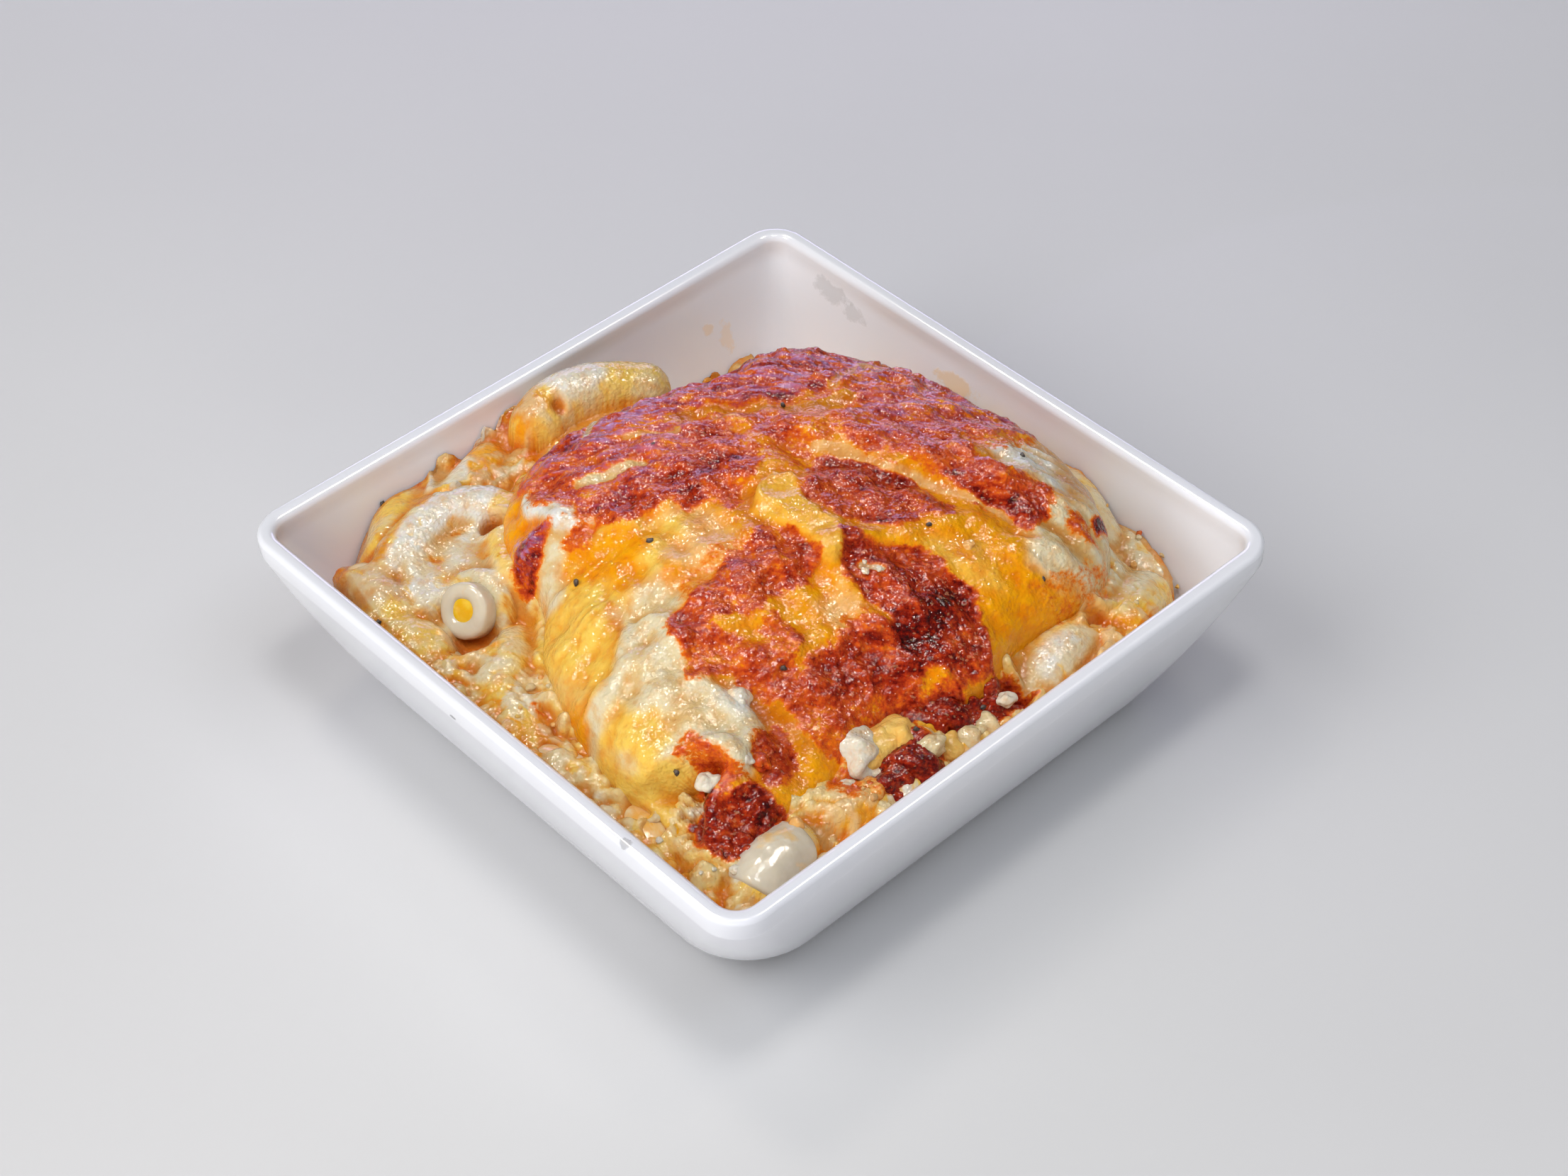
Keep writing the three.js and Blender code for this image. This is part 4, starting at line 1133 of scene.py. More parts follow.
class MAC_OT_blanket(bpy.types.Operator):
    """Makes the browned blanket of cheese: a disc lifted to the heap's height, wrinkled along its normals"""

    bl_idname = "mac.blanket"
    bl_label = "Cheese blanket"

    TOP = 46.1  # the crest stays under this height
    TOP_ROUND = 0.15  # and bends over to it this softly
    SKIRT_FROM = 0.975  # share of the disc where its edge turns straight down
    SKIRT = 3.5
    # Where the blanket stops short and shows the pasta under its overhanging lobe.
    NOTCH = [(-55, -26), (-50, -25.5), (-46, -28.5), (-41, -31.5), (-39.5, -33.5), (-44.5, -34.5),
             (-48, -38.5), (-50, -43), (-55, -43)]
    # Cream folds drawn down the slope at the right.
    DRAWN_DOWN = [(24, -20), (48, -16), (50, -46), (24, -50), (20, -38)]

    def grid(self, count):
        """A square grid carried onto a disc, u = a sqrt(1 - b^2/2) and v = b sqrt(1 - a^2/2), its radius
        stretched so that rows are evenly spaced down the superellipse shoulder, and its edge turned down."""
        a, b = np.meshgrid(np.linspace(-1, 1, count), np.linspace(-1, 1, count), indexing="ij")
        u, v = a * np.sqrt(1 - b * b / 2), b * np.sqrt(1 - a * a / 2)
        radius, angle = np.minimum(np.hypot(u, v), 1), np.arctan2(v, u)
        q = np.sin(np.linspace(0, math.pi / 2, 4000))
        shoulder = 17 * (1 - q ** 2.45) ** (1 / 2.45)
        length = np.concatenate([[0], np.cumsum(np.hypot(np.diff(47 * q), np.diff(shoulder)))])
        share = np.interp(radius / self.SKIRT_FROM, length / length[-1], q)
        reach = crust_reach(np.degrees(angle))
        x = CRUST_CENTRE[0] + reach * share * np.cos(angle)
        y = CRUST_CENTRE[1] + reach * share * np.sin(angle)
        below = np.clip((radius - self.SKIRT_FROM) / (1 - self.SKIRT_FROM), 0, 1)
        return np.stack([x, y, crust_height(x, y, share) - self.SKIRT * below], -1), share

    def relief(self, grid, toast, share):
        """Height along the normal: crossing streaks and blisters where browned, soft waves and drips where
        melted. Also the streaks by themselves, from 0 in the furrows to 1 on the crests."""
        x, y = grid[..., 0], grid[..., 1]
        browned = ease(0.3, 0.5, toast)
        heading = np.radians(-42 - 22 * ease(4, 18, x - 0.3 * y))
        along, across = x * np.cos(heading) + y * np.sin(heading), y * np.cos(heading) - x * np.sin(heading)
        across = across + 0.8 * fractal(grid, 7.0, 23, 2)
        streaks = ridges(np.stack([along / 6.5, across / 1.7, grid[..., 2] / 9], -1), 1.0, 21, 3)
        wrinkles = ridges(np.stack([along / 9, across / 3.6, grid[..., 2] / 9], -1), 1.0, 27, 2)
        far = ease(18, 44, x + y)
        streaked = ease(-6, 6, x + y + 4 * noise(grid / 9, 5))
        blisters = ridges(grid, 2.6, 31, 3)
        beads = fractal(grid, 1.0, 41, 2)
        crusty = (streaked * (0.85 * streaks + 0.2 * blisters + (0.35 + 1.3 * far) * (wrinkles - 0.45))
                  + (1 - streaked) * 0.8 * blisters)
        drapes = fractal(flat(np.arctan2(y, x + 5) * 11, share * 3.5), 1.0, 63, 3)
        melted = (0.4 * fractal(grid, 3.4, 51, 3) + 0.12 * fractal(grid, 1.2, 57, 2)
                  + 0.1 * curds(grid, 1.9, 61)[0] + 0.7 * drapes * ease(0.5, 0.85, share))
        drip = fractal(flat((x * 0.5 - y * 0.87) / 9, (x * 0.87 + y * 0.5) / 2.2), 1.0, 67, 2)
        melted += 0.9 * drip * ease(-4, 4, inside(x, y, self.DRAWN_DOWN))
        relief = browned * (crusty - 0.45 + 0.1 * beads) + (1 - browned) * melted
        relief += 0.35 * fractal(grid, 9.0, 71, 3) + 0.3 * browned
        for rise, soft, outline in SLABS:
            relief += rise * ease(-soft, soft, inside(x, y, outline) + 0.6 * fractal(grid, 3.0, 73, 2))
        relief += far * 1.1 * (ridges(grid, 5.0, 83, 2) - 0.5)
        relief -= 1.1 * far
        notch = inside(x, y, self.NOTCH) + 0.5 * fractal(grid, 3.0, 77, 2)
        relief += 1.3 * np.exp(-(((notch + 3) / 2.2) ** 2)) - 9 * ease(-2.2, 1.4, notch)
        lift = settings().relief * relief * ease(1.02, 0.9, share)
        return lift + 0.4 * fractal(grid, 5.0, 81, 3) * ease(0.85, 0.97, share), np.clip(streaks, 0, 1)

    def execute(self, context):
        count = settings().blanket_grid
        grid, share = self.grid(count)
        tint, toast, painted_reflection = paint(grid[..., 0], grid[..., 1], CHEESE["cheddar"])
        lift, streaks = self.relief(grid, toast, share)
        # Painted shade and reflection: the browning is painted deeper in the streaks' furrows, the painted
        # violet reflection is kept to their crests and fades out to the back, and the hollows get painted
        # shade.
        toast -= 0.24 * (streaks - 0.5) * ease(0.25, 0.45, toast)
        painted_reflection *= (0.1 + 1.6 * ease(0.3, 0.75, streaks)) * ease(62, 46, grid[..., 0] + grid[..., 1])
        tint = painted_hollow_shade(tint, 0.6 * sunk(lift, 3) + 0.4 * sunk(lift, 8))
        grid = grid + lift[..., None] * grid_normals(grid)
        room = self.TOP - grid[..., 2]
        softened = self.TOP - self.TOP_ROUND * np.log1p(np.exp(-room / self.TOP_ROUND))
        grid[..., 2] = np.minimum(grid[..., 2], softened)
        grid = keep_in_bowl(grid, CLEARANCE)
        index = np.arange(count * count).reshape(count, count)
        edge = np.concatenate([index[0], index[1:, -1], index[-1, -2::-1], index[-2:0:-1, 0]])
        points = np.concatenate([grid.reshape(-1, 3), [[*CRUST_CENTRE, grid[0, 0, 2]]]])
        faces = [f[::-1] for f in sheet_faces(count, count)]
        faces += [(count * count, b, a) for a, b in zip(edge, np.roll(edge, -1))]
        extend = lambda field: np.append(field.reshape(-1), 0)
        tint = np.concatenate([tint.reshape(-1, 3), [linear(CHEESE["cheddar"])]])
        make_food("cheese_blanket", points, faces, cheese_material(), tint, extend(toast), extend(painted_reflection))
        return {"FINISHED"}


def all_elbows():
    """The elbows that show, and those round the back spread by a repeatable rule."""
    state = BACK_SEED
    room = bowl_side() / 2 - settings().rim_width / MM - float(wall_inset(BED_DROP)) - 1.1 * PASTA_RADIUS
    rest = []

    def draw():
        nonlocal state
        state = (state * 1664525 + 1013904223) % WORD
        return state / WORD

    for k in range(BACK_ELBOWS):
        a = math.radians(BACK_FROM + (BACK_TO - BACK_FROM) * k / (BACK_ELBOWS - 1))
        stretch = 1 / max(abs(math.cos(a)), abs(math.sin(a)), 0.78)
        x, y = room * stretch * math.cos(a), room * stretch * math.sin(a)
        level = float(bed_height(np.array(x), np.array(y))) - BACK_SINK + 1.5 * draw()
        heading = math.degrees(a) + 90 + 50 * (draw() - 0.5)
        pitch, twist, bend = 16 * (draw() - 0.5), 60 + 60 * draw(), 50 + 30 * draw()
        if level > BACK_LEAST:
            rest.append(((x, y, level), heading, pitch, twist, bend, "coated"))
    return ELBOWS + rest


def placed(points, at, heading, pitch, twist):
    """Turns points about X by twist, about Y by -pitch and about Z by heading, and moves them to at."""
    t, p, h = math.radians(twist), -math.radians(pitch), math.radians(heading)
    about_x = np.array([[1, 0, 0], [0, math.cos(t), -math.sin(t)], [0, math.sin(t), math.cos(t)]])
    about_y = np.array([[math.cos(p), 0, math.sin(p)], [0, 1, 0], [-math.sin(p), 0, math.cos(p)]])
    about_z = np.array([[math.cos(h), -math.sin(h), 0], [math.sin(h), math.cos(h), 0], [0, 0, 1]])
    return points @ (about_z @ about_y @ about_x).T + np.array(at)


def elbow_middle_line(elbow, count=25):
    """Points along an elbow's middle line: an arc of the pasta's bend in its own plane."""
    at, heading, pitch, twist, bend, _ = elbow
    a = np.radians(np.linspace(-bend / 2, bend / 2, count))
    arc = np.stack([PASTA_BEND * np.sin(a), PASTA_BEND * (np.cos(a) - 1), np.zeros(count)], -1)
    return placed(arc, at, heading, pitch, twist)


def open_end(line, step):
    """Three directions at the end of a middle line: out of the tube, level across it, and up it."""
    out = line[-1] - line[-1 - step]
    out = out / np.linalg.norm(out)
    side = np.cross(out, [0, 0, 1.0])
    side /= np.linalg.norm(side)
    return out, side, np.cross(side, out)


class MAC_OT_bed(bpy.types.Operator):
    """Makes the bed of sauced pasta between the blanket and the bowl's walls"""

    bl_idname = "mac.bed"
    bl_label = "Pasta bed"

    AROUND = 880
    ACROSS = 92
    BLEND = 0.5  # width of the smooth union with the elbows
    DATUM = 25.0  # heights count from here in it, which keeps the powers small
    NOWHERE = -50.0  # a height beside every tube
    COATS = {"coated": 0.5, "pale": -0.4}  # how far sauce stands over an elbow's side
    # Pits and mounds: x, y, radius, rise.
    PITS = [(-42, 19, 3.5, -2.5), (-49.8, -8.1, 1.3, -2.5), (-48, -26, 2.2, -2), (7.5, -49, 2.5, -3),
            (-49, -31, 1.8, -2), (-45.5, 43.5, 2.5, -1.5), (28, -46, 2, -2), (-2.8, 45, 1.2, -1.5),
            (-26.3, 33.2, 2.0, -6.0), (-45, 17, 2, -1.5)]
    # Thick sauce along a line: radius, points of the middle line.
    ROPES = [
        (4.4, [(-43.5, 38.6, 24.6), (-40, 40, 25.4), (-36.7, 40.9, 25.9), (-33, 41.6, 26.1),
               (-30, 41.8, 26.2), (-26.4, 40.4, 26.2), (-23.5, 38.2, 25.9), (-21.9, 34.9, 25.6),
               (-21.9, 31.6, 25.2)]),
        (4.7, [(-5.5, 47.6, 28), (-2.5, 48, 29.2), (1, 47.7, 29.8), (5, 46.6, 29.6), (9, 44.8, 28.8),
               (13, 42.5, 27.5)]),
    ]
    # Under the overhanging lobe the bed hardly rises to meet the blanket.
    LOBE = [(-53, -8), (-40, -8), (-40, -40), (-53, -40)]
    # Browned clumps: browning, softness of the edge, outline.
    TOASTED = [
        (0.42, 1.5, [(-27, -43), (-21, -42), (-20, -48), (-26, -49)]),
        (0.8, 1.2, [(-22, -44.5), (-10.5, -44), (-10, -50.5), (-21, -50.5)]),
        (0.75, 1.2, [(-5, -43), (4, -45), (10, -47), (10, -51), (0, -51)]),
        (0.45, 1.0, [(-48, -0.5), (-45, -0.5), (-45, -3.5), (-48, -3.5)]),
        (0.5, 0.8, [(-31, 46.5), (-34.5, 45.5), (-35, 44), (-31, 45)]),
    ]

    @staticmethod
    def collar(line):
        """A circle of sauce round the open end of a tube, a little behind its lip."""
        out, side, up = open_end(line, 1)
        a = np.linspace(0, 2 * math.pi, 40, endpoint=False)[:, None]
        return line[-1] - 4.3 * out + (PASTA_RADIUS - 0.1) * (np.cos(a) * side + np.sin(a) * up)

    @staticmethod
    def lumps(x, y):
        """Curds of three sizes on a bent plane, from 0 in the gaps to about 1 on top, and each one's pick."""
        p = flat(x, y)
        bent = p + 1.3 * np.stack([fractal(p, 5.0, seed, 2) for seed in (171, 181, 191)], -1)
        large, pick = curds(bent, 3.4, 101)
        return 0.5 * large + 0.4 * curds(bent, 1.9, 111)[0] + 0.1 * curds(bent, 0.9, 115)[0], pick

    @staticmethod
    def sauced(x, y):
        """The cover of each patch of sauce in turn, with its colour, its share of the lumps and its rise."""
        ragged = 0.8 * fractal(flat(x, y), 3.0, 121, 3)
        for name, soft, lumpy, rise, outline in SAUCED:
            yield ease(-soft, soft, inside(x, y, outline) + ragged), name, lumpy, rise

    @classmethod
    def pits(cls, x, y, reach):
        """How far each point is in each pit, exp(-(d / radius)^4), with the pit's rise."""
        for px, py, radius, rise in cls.PITS:
            yield np.exp(-(((x - px) ** 2 + (y - py) ** 2) / (reach * radius) ** 2) ** 2), rise

    @classmethod
    def tubes(cls):
        """Everything round that the bed closes over: whether lumps go over it, radius, middle line."""
        for elbow in all_elbows()[1:]:
            yield elbow[5] == "coated", PASTA_RADIUS + cls.COATS[elbow[5]], elbow_middle_line(elbow, 15)
        ring = elbow_middle_line(ELBOWS[0], 15)
        yield True, PASTA_RADIUS + 0.3, ring[:-7]
        yield True, 2.0, cls.collar(ring)
        for radius, points in cls.ROPES:
            t = np.linspace(0, len(points) - 1, 4 * len(points))
            yield True, radius, np.stack([np.interp(t, range(len(points)), c) for c in zip(*points)], -1)

    @classmethod
    def height(cls, x, y):
        """Bed level with curds, patches of sauce and pits, in a smooth union with the elbows (k log of the
        sum of exp(height / k)): over the coated ones, and only up the sides of the pale ones."""
        lumps = cls.lumps(x, y)[0]
        lumpy = np.ones_like(x)
        level = bed_height(x, y) - 2.8 + 1.0 * fractal(flat(x, y), 8.0, 91, 3)
        level = level - 5.5 * ease(9, 19, x) * ease(26, 38, y) - 5.0 * ease(38, 44, x) * ease(-44, -30, y)
        level = BED_LEAST + np.logaddexp(0, level - BED_LEAST)
        level = level - 3.5 * np.exp(-(((x + 13.5) / 5) ** 2) - ((y - 50) / 4) ** 2)
        level = level - 3.0 * ease(45, 51, y) * ease(-52, -44, x) * ease(-8, -16, x)
        for cover, _, share, rise in cls.sauced(x, y):
            lumpy += cover * (share - lumpy)
            level = level + rise * cover
        away = np.maximum((plan_share(x, y) - 1) * EDGE_LENGTH, 0)
        lobe = ease(-2, 2, inside(x, y, cls.LOBE))
        level = level + 2.6 * np.exp(-((away / 2.4) ** 2)) * (1 - 0.8 * lobe) + 3.7 * lumps * lumpy
        total = np.exp((level - cls.DATUM) / cls.BLEND)
        for coated, radius, line in cls.tubes():
            middle = line.mean(0)
            near = (np.abs(x - middle[0]) < 20) & (np.abs(y - middle[1]) < 20)
            best = np.full(x[near].shape, cls.NOWHERE)
            for c in line:
                room = radius ** 2 - (x[near] - c[0]) ** 2 - (y[near] - c[1]) ** 2
                best = np.maximum(best, np.where(room > 0, c[2] + np.sqrt(np.maximum(room, 0)), cls.NOWHERE))
            if coated:
                best = best + 1.2 * (lumps[near] - 0.6) * (0.25 + 0.75 * lumpy[near])
            rise = np.exp((np.maximum(best, 0) - cls.DATUM) / cls.BLEND)
            total[near] += np.where(best > cls.NOWHERE + 10, rise, 0)
        top = cls.DATUM + cls.BLEND * np.log(total)
        for depth, rise in cls.pits(x, y, 1):
            top = top + rise * depth
        return top

    def reach_wall(self, start, heading):
        """Where a ray from the start with a heading leaves the bowl's square."""
        half = bowl_side() / 2
        with np.errstate(divide="ignore"):
            steps = np.where(heading > 0, (half - start) / heading, (-half - start) / heading)
        steps = np.where(np.abs(heading) < 1e-9, 1e9, steps)
        return start + heading * steps.min(-1)[:, None]

    def execute(self, context):
        angle = np.linspace(-math.pi, math.pi, self.AROUND, endpoint=False)
        heading = np.stack([np.cos(angle), np.sin(angle)], -1)
        start = CRUST_CENTRE + 0.8 * crust_reach(np.degrees(angle))[:, None] * heading
        level = np.full(self.AROUND, bowl_height() - BED_DROP)
        for _ in range(4):  # the wall leans, so the place where it is met depends on the level there
            wall = np.concatenate([self.reach_wall(start, heading), level[:, None]], -1)
            wall = keep_in_bowl(wall, CLEARANCE)
            level = bed_height(wall[:, 0], wall[:, 1])
        t = np.linspace(0, 1, self.ACROSS)[None, :, None]
        plan = start[:, None, :] * (1 - t) + wall[:, None, :2] * t
        x, y = plan[..., 0], plan[..., 1]
        z = self.height(x, y)
        grid = keep_in_bowl(np.stack([x, y, z], -1), CLEARANCE)
        tint, toast = self.colours(grid)
        # Painted shade and light: darker, more orange hollows and paler crests.
        tint = painted_hollow_shade(tint, 0.5 * sunk(z, 3) + 0.5 * sunk(z, 7))
        outer_low = grid[:, -1, :] - [0, 0, BED_SKIRT]
        outer_low[:, 2] = np.maximum(outer_low[:, 2], FLOOR_LEVEL + 1)
        outer_low = keep_in_bowl(outer_low, CLEARANCE)
        inner_low = grid[:, 0, :] - [0, 0, BED_SKIRT]
        grid = np.concatenate([grid, outer_low[:, None], inner_low[:, None]], 1)
        pad = lambda field: np.concatenate([field, field[:, -1:], field[:, :1]], 1)
        faces = sheet_faces(self.AROUND, self.ACROSS + 2, wrap_rows=True, wrap_columns=True)
        make_food("pasta_bed", grid.reshape(-1, 3), [f[::-1] for f in faces], cheese_material(),
                  pad(tint).reshape(-1, 3), pad(toast).reshape(-1))
        return {"FINISHED"}

    def colours(self, p):
        """Each curd has its own tone from yellow to cream, under patches of sauce; near the blanket its
        colours run on, and the front has red clumps. Painted light in cream on the curds' tops, painted shade
        in deep orange in the gaps and pits."""
        x, y = p[..., 0], p[..., 1]
        broad = fractal(flat(x, y), 9.0, 131, 4)
        fine = fractal(flat(x, y), 2.5, 141, 3)
        lumps, pick = self.lumps(x, y)
        tint = np.broadcast_to(linear(CHEESE["gold"]), p.shape)
        tint = laid(tint, "cream", 0.7 * ease(0.55, 0.75, pick + 0.5 * broad))
        tint = laid(tint, "cheddar", 0.8 * ease(0.4, 0.2, pick + 0.4 * broad))
        tint = laid(tint, "milk", 0.8 * ease(0.88, 0.98, pick + 0.2 * broad))
        for cover, name, _, _ in self.sauced(x, y):
            tint = laid(tint, name, 0.92 * cover)
        near = ease(3.5, 0.8, (plan_share(x, y) - 1) * EDGE_LENGTH)
        melted, toast, _ = paint(x, y, CHEESE["butter"])
        tint = tint + near[..., None] * (melted - tint)
        toast = toast * near
        # Painted light and shade by the lumps' height: cream on their tops, gold lower down and deep orange
        # in the gaps between them.
        tint = laid(tint, "cream", 0.5 * ease(0.62, 0.85, lumps + 0.3 * fine))
        tint = laid(tint, "gold", 0.7 * ease(0.5, 0.3, lumps + 0.12 * fine))
        tint = laid(tint, "amber", 0.9 * ease(0.24, 0.02, lumps + 0.1 * fine))
        # Painted shade: the pits are painted deep orange.
        for depth, _ in self.pits(x, y, 1.1):
            tint = laid(tint, "amber", 0.8 * depth)
        for tone, soft, outline in self.TOASTED:
            cover = ease(-soft, soft, inside(x, y, outline) + 1.5 * fine)
            toast += cover * (tone - toast)
        return tint, toast


class MAC_OT_elbows(bpy.types.Operator):
    """Makes the elbows of pasta as hollow bent tubes, joined by look"""

    bl_idname = "mac.elbows"
    bl_label = "Elbows"

    SIDES = 32

    def elbow(self, elbow, seed):
        """A bent tube: the outside, a round lip, back through the hole and a round lip, closed both ways."""
        at, heading, pitch, twist, bend, _ = elbow
        half = math.radians(bend / 2)
        lip = (PASTA_RADIUS - PASTA_HOLE) / 2
        outer = [(a, PASTA_RADIUS, 0.0) for a in np.linspace(-half, half, 26)]
        turn = np.linspace(0, math.pi, 7)[1:-1]
        end = [(half, PASTA_RADIUS - lip * (1 - math.cos(t)), 0.55 * lip * math.sin(t)) for t in turn]
        inner = [(a, PASTA_HOLE, 0.0) for a in np.linspace(half, -half, 10)]
        start = [(-half, PASTA_HOLE + lip * (1 - math.cos(t)), -0.55 * lip * math.sin(t)) for t in turn]
        rows = np.array(outer + end + inner + start)
        phi = np.linspace(0, 2 * math.pi, self.SIDES, endpoint=False)
        a, r, push = (rows[:, k][:, None] for k in range(3))
        reach = PASTA_BEND + r * np.cos(phi)
        x = reach * np.sin(a) + push * np.cos(a)
        y = reach * np.cos(a) - PASTA_BEND - push * np.sin(a)
        z = np.broadcast_to(r * np.sin(phi), x.shape)
        grid = np.stack([x, y, z], -1)
        swell = 0.45 * fractal(grid + 31 * seed, 6.0, 151, 3) + 0.12 * fractal(grid + 31 * seed, 1.8, 161, 2)
        centre = np.stack([PASTA_BEND * np.sin(a), PASTA_BEND * (np.cos(a) - 1), np.zeros_like(a)], -1)
        away = grid - centre
        away /= np.maximum(np.linalg.norm(away, axis=-1, keepdims=True), 1e-9)
        grid = grid + away * swell[..., None]
        grid = placed(grid.reshape(-1, 3), at, heading, pitch, twist)
        return keep_in_bowl(grid, CLEARANCE), sheet_faces(len(rows), self.SIDES, True, True)

    def execute(self, context):
        looks = {
            "pale": pasta_material("pale_pasta", (206, 193, 170), (222, 182, 114), 0.2),
            "coated": pasta_material("sauced_pasta", (232, 200, 146), (232, 168, 66), 0.6),
        }
        for look, material in looks.items():
            points, faces = [], []
            for seed, elbow in enumerate(all_elbows()):
                if elbow[5] == look:
                    tube, quads = self.elbow(elbow, seed)
                    faces += [[k + len(points) for k in f] for f in quads]
                    points += tube.tolist()
            make_food(f"{look}_elbows", points, faces, material)
        return {"FINISHED"}


def lump_mesh(centres, sizes, seed, rows, columns, rough):
    """Closed lumps: unit spheres pushed in and out by noise, stretched by sizes (n, 3), turned and moved to
    centres; and how many points each has."""
    rng = np.random.default_rng(seed)
    shape, faces = ball(rows, columns)
    n, k = len(centres), len(shape)
    shape = shape * (1 + rough * noise(shape * 1.7 + rng.uniform(0, 90, (n, 1, 3)), seed))[..., None]
    x, y, z = np.moveaxis(shape * sizes[:, None, :], -1, 0)
    turn = rng.uniform(0, 2 * math.pi, (n, 1))
    tilt = rng.uniform(-0.6, 0.6, (n, 1))
    y, z = y * np.cos(tilt) - z * np.sin(tilt), y * np.sin(tilt) + z * np.cos(tilt)
    x, y = x * np.cos(turn) - y * np.sin(turn), x * np.sin(turn) + y * np.cos(turn)
    points = np.stack([x, y, z], -1) + centres[:, None, :]
    return points.reshape(-1, 3), [[c + k * lump for c in f] for lump in range(n) for f in faces], k


class MAC_OT_curds(bpy.types.Operator):
    """Makes the loose curds and clumps of cheese that lie in the sauce and on the blanket"""

    bl_idname = "mac.curds"
    bl_label = "Curds"

    # Clumps: centre in plan, radius, lift, colour, browning.
    CLUMPS = [
        ((-15.0, -42.4), 4.4, 2.2, "butter", 0), ((-12.0, -43.8), 3.0, 1.6, "butter", 0),
        ((-18.8, -42.4), 3.6, 1.6, "milk", 0), ((-17.2, -45.0), 3.4, 1.2, "milk", 0),
        ((-17.8, -48.0), 4.0, 0.2, "tan", 0.8), ((-14.2, -48.8), 3.8, 0.4, "tan", 0.8),
        ((-21.6, -45.6), 2.2, 0.4, "cream", 0.25), ((-22.6, -48), 2.4, 0.6, "peach", 0.28),
        ((-24.4, -45.4), 1.6, 0.6, "milk", 0), ((0.6, -49.8), 2.4, 0.5, "cream", 0.1),
        ((-8.2, -43.6), 4.1, 0.6, "tan", 0.74), ((-4.6, -44.8), 4.6, 0.3, "tan", 0.8),
        ((-0.6, -46.4), 4.0, 0.0, "tan", 0.74), ((-10.6, -48.4), 2.4, 0.9, "cream", 0),
        ((-7.0, -49.2), 2.6, 0.7, "butter", 0), ((-3.6, -49.6), 2.3, 0.8, "cream", 0),
        ((-41.4, -34.6), 1.6, 1.6, "milk", 0), ((-29.2, -27.6), 1.9, 1.2, "milk", 0),
        ((-35.6, -35.8), 1.4, 1.0, "milk", 0), ((4.5, -49.5), 1.3, 1.6, "milk", 0),
        ((-33.5, -37), 1.5, 0.5, "tan", 0.55), ((15.5, -30.5), 0.9, 0.1, "peach", 0),
        ((-1.2, -25.2), 0.6, 0.2, "milk", 0), ((0.4, -26.6), 0.5, 0.2, "milk", 0),
        ((-0.2, -24.1), 0.4, 0.2, "milk", 0),
    ]
    LOOSE = 34
    # Colours of the loose curds and how often each is picked.
    TONES = {"cream": 0.34, "peach": 0.3, "butter": 0.16, "milk": 0.12, "tan": 0.08}

    def make(self, name, lumps, ripple, tones, browning):
        """One piece of lumps with a fine ripple, each lump with its own colour and browning."""
        points, faces, each = lumps
        points = points + ripple * fractal(points, 1.4, 9, 3)[:, None] * np.array([0.5, 0.5, 1.0])
        tint = np.repeat([linear(CHEESE[tone]) for tone in tones], each, 0)
        make_food(name, keep_in_bowl(points, CLEARANCE), faces, cheese_material(), tint,
                  np.repeat(browning, each))

    def execute(self, context):
        rng = np.random.default_rng(12)
        side = bowl_side() / 2
        x, y = rng.uniform(-side, side, (2, self.LOOSE * 14))
        share = plan_share(x, y)
        probe = keep_in_bowl(np.stack([x, y, np.full_like(x, 26.0)], -1), 1.5)
        ok = (share > 0.985) & (np.hypot(probe[:, 0] - x, probe[:, 1] - y) < 1e-6) & (y < 8)
        x, y = x[ok][:self.LOOSE], y[ok][:self.LOOSE]
        size = 0.35 + 0.7 * rng.uniform(0, 1, len(x)) ** 2.2
        level = MAC_OT_bed.height(x, y)
        centres = np.stack([x, y, level + 0.1 * size], -1)
        sizes = size[:, None] * rng.uniform(0.65, 1.25, (len(x), 3)) * [1, 1, 0.8]
        tones = rng.choice(list(self.TONES), len(x), p=list(self.TONES.values()))
        browning = np.where(rng.uniform(0, 1, len(x)) < 0.05, 0.45, 0.0)
        self.make("loose_curds", lump_mesh(centres, sizes, 5, 7, 10, 0.35), 0, tones, browning)

        at, radius, lift, tones, browning = (np.array(column) for column in zip(*self.CLUMPS))
        x, y = at[:, 0], at[:, 1]
        base = np.maximum(surface_height(x, y), MAC_OT_bed.height(x, y) - 1)
        centres = np.stack([x, y, base + lift - 0.5 * radius * (radius > 1.5)], -1)
        sizes = radius[:, None] * np.array([1.1, 0.95, 0.8])
        self.make("cheese_clumps", lump_mesh(centres, sizes, 6, 22, 32, 0.3), 0.13, tones, browning)
        return {"FINISHED"}


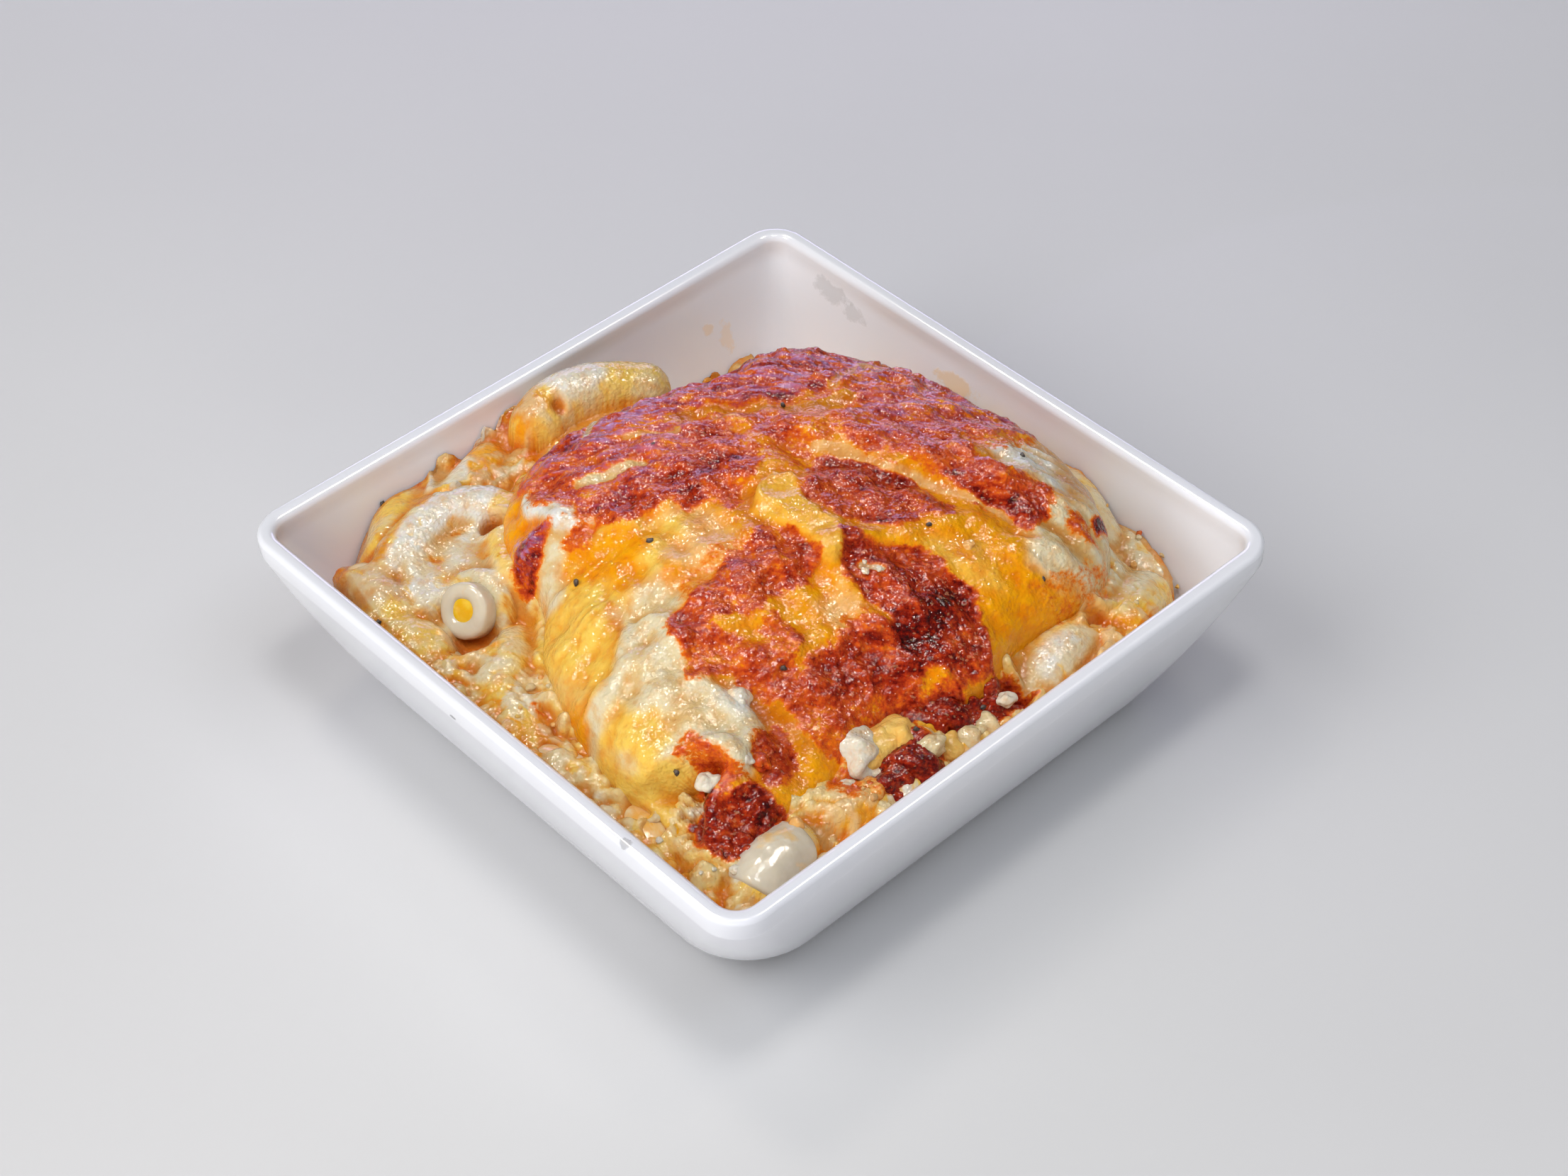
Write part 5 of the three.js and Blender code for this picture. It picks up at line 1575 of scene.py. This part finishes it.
class MAC_OT_flecks(bpy.types.Operator):
    """Makes the flecks of pepper and the liquid sauce in the open elbow"""

    bl_idname = "mac.flecks"
    bl_label = "Pepper and sauce"

    PEPPER = [(-6.7, 16.2), (12.5, -25), (-21, -28.5), (-43, -29.5), (-42.7, -18.5), (-34, 53), (15, 10),
              (-20, 2), (-52, 30), (1, -48), (22, -40), (-30, 8), (36, -22), (-11, -46)]

    def execute(self, context):
        rng = np.random.default_rng(4)
        spots = np.array(self.PEPPER, float)
        x, y = spots[:, 0], spots[:, 1]
        level = np.where(plan_share(x, y) < 1, surface_height(x, y) + 0.3, MAC_OT_bed.height(x, y) + 0.1)
        sizes = rng.uniform(0.3, 0.55, (len(x), 3))
        points, faces, _ = lump_mesh(np.stack([x, y, level], -1), sizes, 8, 4, 7, 0.5)
        material, n, shader, place = new_material("ground_pepper")
        tone = n.ramp(n.noise(place, 2500.0, 3.0, 0.6), (0.3, (24, 20, 20)), (0.7, (92, 80, 74)))
        n.fill(shader, {"Base_Color": tone,
                        "Roughness": n.remap(n.noise(place, 900.0), 0.3, 0.7, 0.35, 0.7)})
        make_food("pepper", keep_in_bowl(points, CLEARANCE), faces, material)

        material, n, shader, place = new_material("liquid_sauce")
        tone = n.mix(n.remap(n.noise(place, 500.0), 0.35, 0.7), (*settings().yolk, 1.0), rgba((246, 206, 70)))
        n.fill(shader, {"Base_Color": tone,
                        "Roughness": n.remap(n.noise(place, 300.0), 0.3, 0.7, 0.08, 0.18),
                        "Subsurface_Weight": 0.3, "Subsurface_Scale": 0.002, "Coat_Weight": 0.6,
                        "Coat_Roughness": 0.04})
        line = elbow_middle_line(ELBOWS[0])
        out, side, up = open_end(line, 2)
        radius = PASTA_HOLE + 0.8
        points, faces = ball(12, 24)
        points = points * (radius, radius, 0.7)
        points = line[-1] - out * 0.3 + points[:, :1] * side + points[:, 1:2] * up + points[:, 2:] * out
        make_food("liquid_sauce", points, faces, material)
        return {"FINISHED"}


class MAC_PT_panel(bpy.types.Panel):
    """Lists the pieces and the settings"""

    bl_idname = "MAC_PT_panel"
    bl_label = "Mac and cheese"
    bl_space_type = "VIEW_3D"
    bl_region_type = "UI"
    bl_category = "Mac and cheese"

    def draw(self, context):
        for key in MacAndCheeseSettings.__annotations__:
            self.layout.prop(settings(), key)
        for operator in PIECES:
            self.layout.operator(operator.bl_idname)


PIECES = (MAC_OT_stage, MAC_OT_bowl, MAC_OT_blanket, MAC_OT_bed, MAC_OT_elbows, MAC_OT_curds, MAC_OT_flecks)
CLASSES = (MacAndCheeseSettings, *PIECES, MAC_PT_panel)


def register():
    for cls in CLASSES:
        bpy.utils.register_class(cls)
    bpy.types.Scene.mac_and_cheese = PointerProperty(type=MacAndCheeseSettings)


def unregister():
    del bpy.types.Scene.mac_and_cheese
    for cls in reversed(CLASSES):
        bpy.utils.unregister_class(cls)


def main():
    register()
    bpy.ops.mac.stage()
    bpy.ops.mac.bowl()
    bpy.ops.mac.blanket()
    bpy.ops.mac.bed()
    bpy.ops.mac.elbows()
    bpy.ops.mac.curds()
    bpy.ops.mac.flecks()


if __name__ == "__main__":
    main()
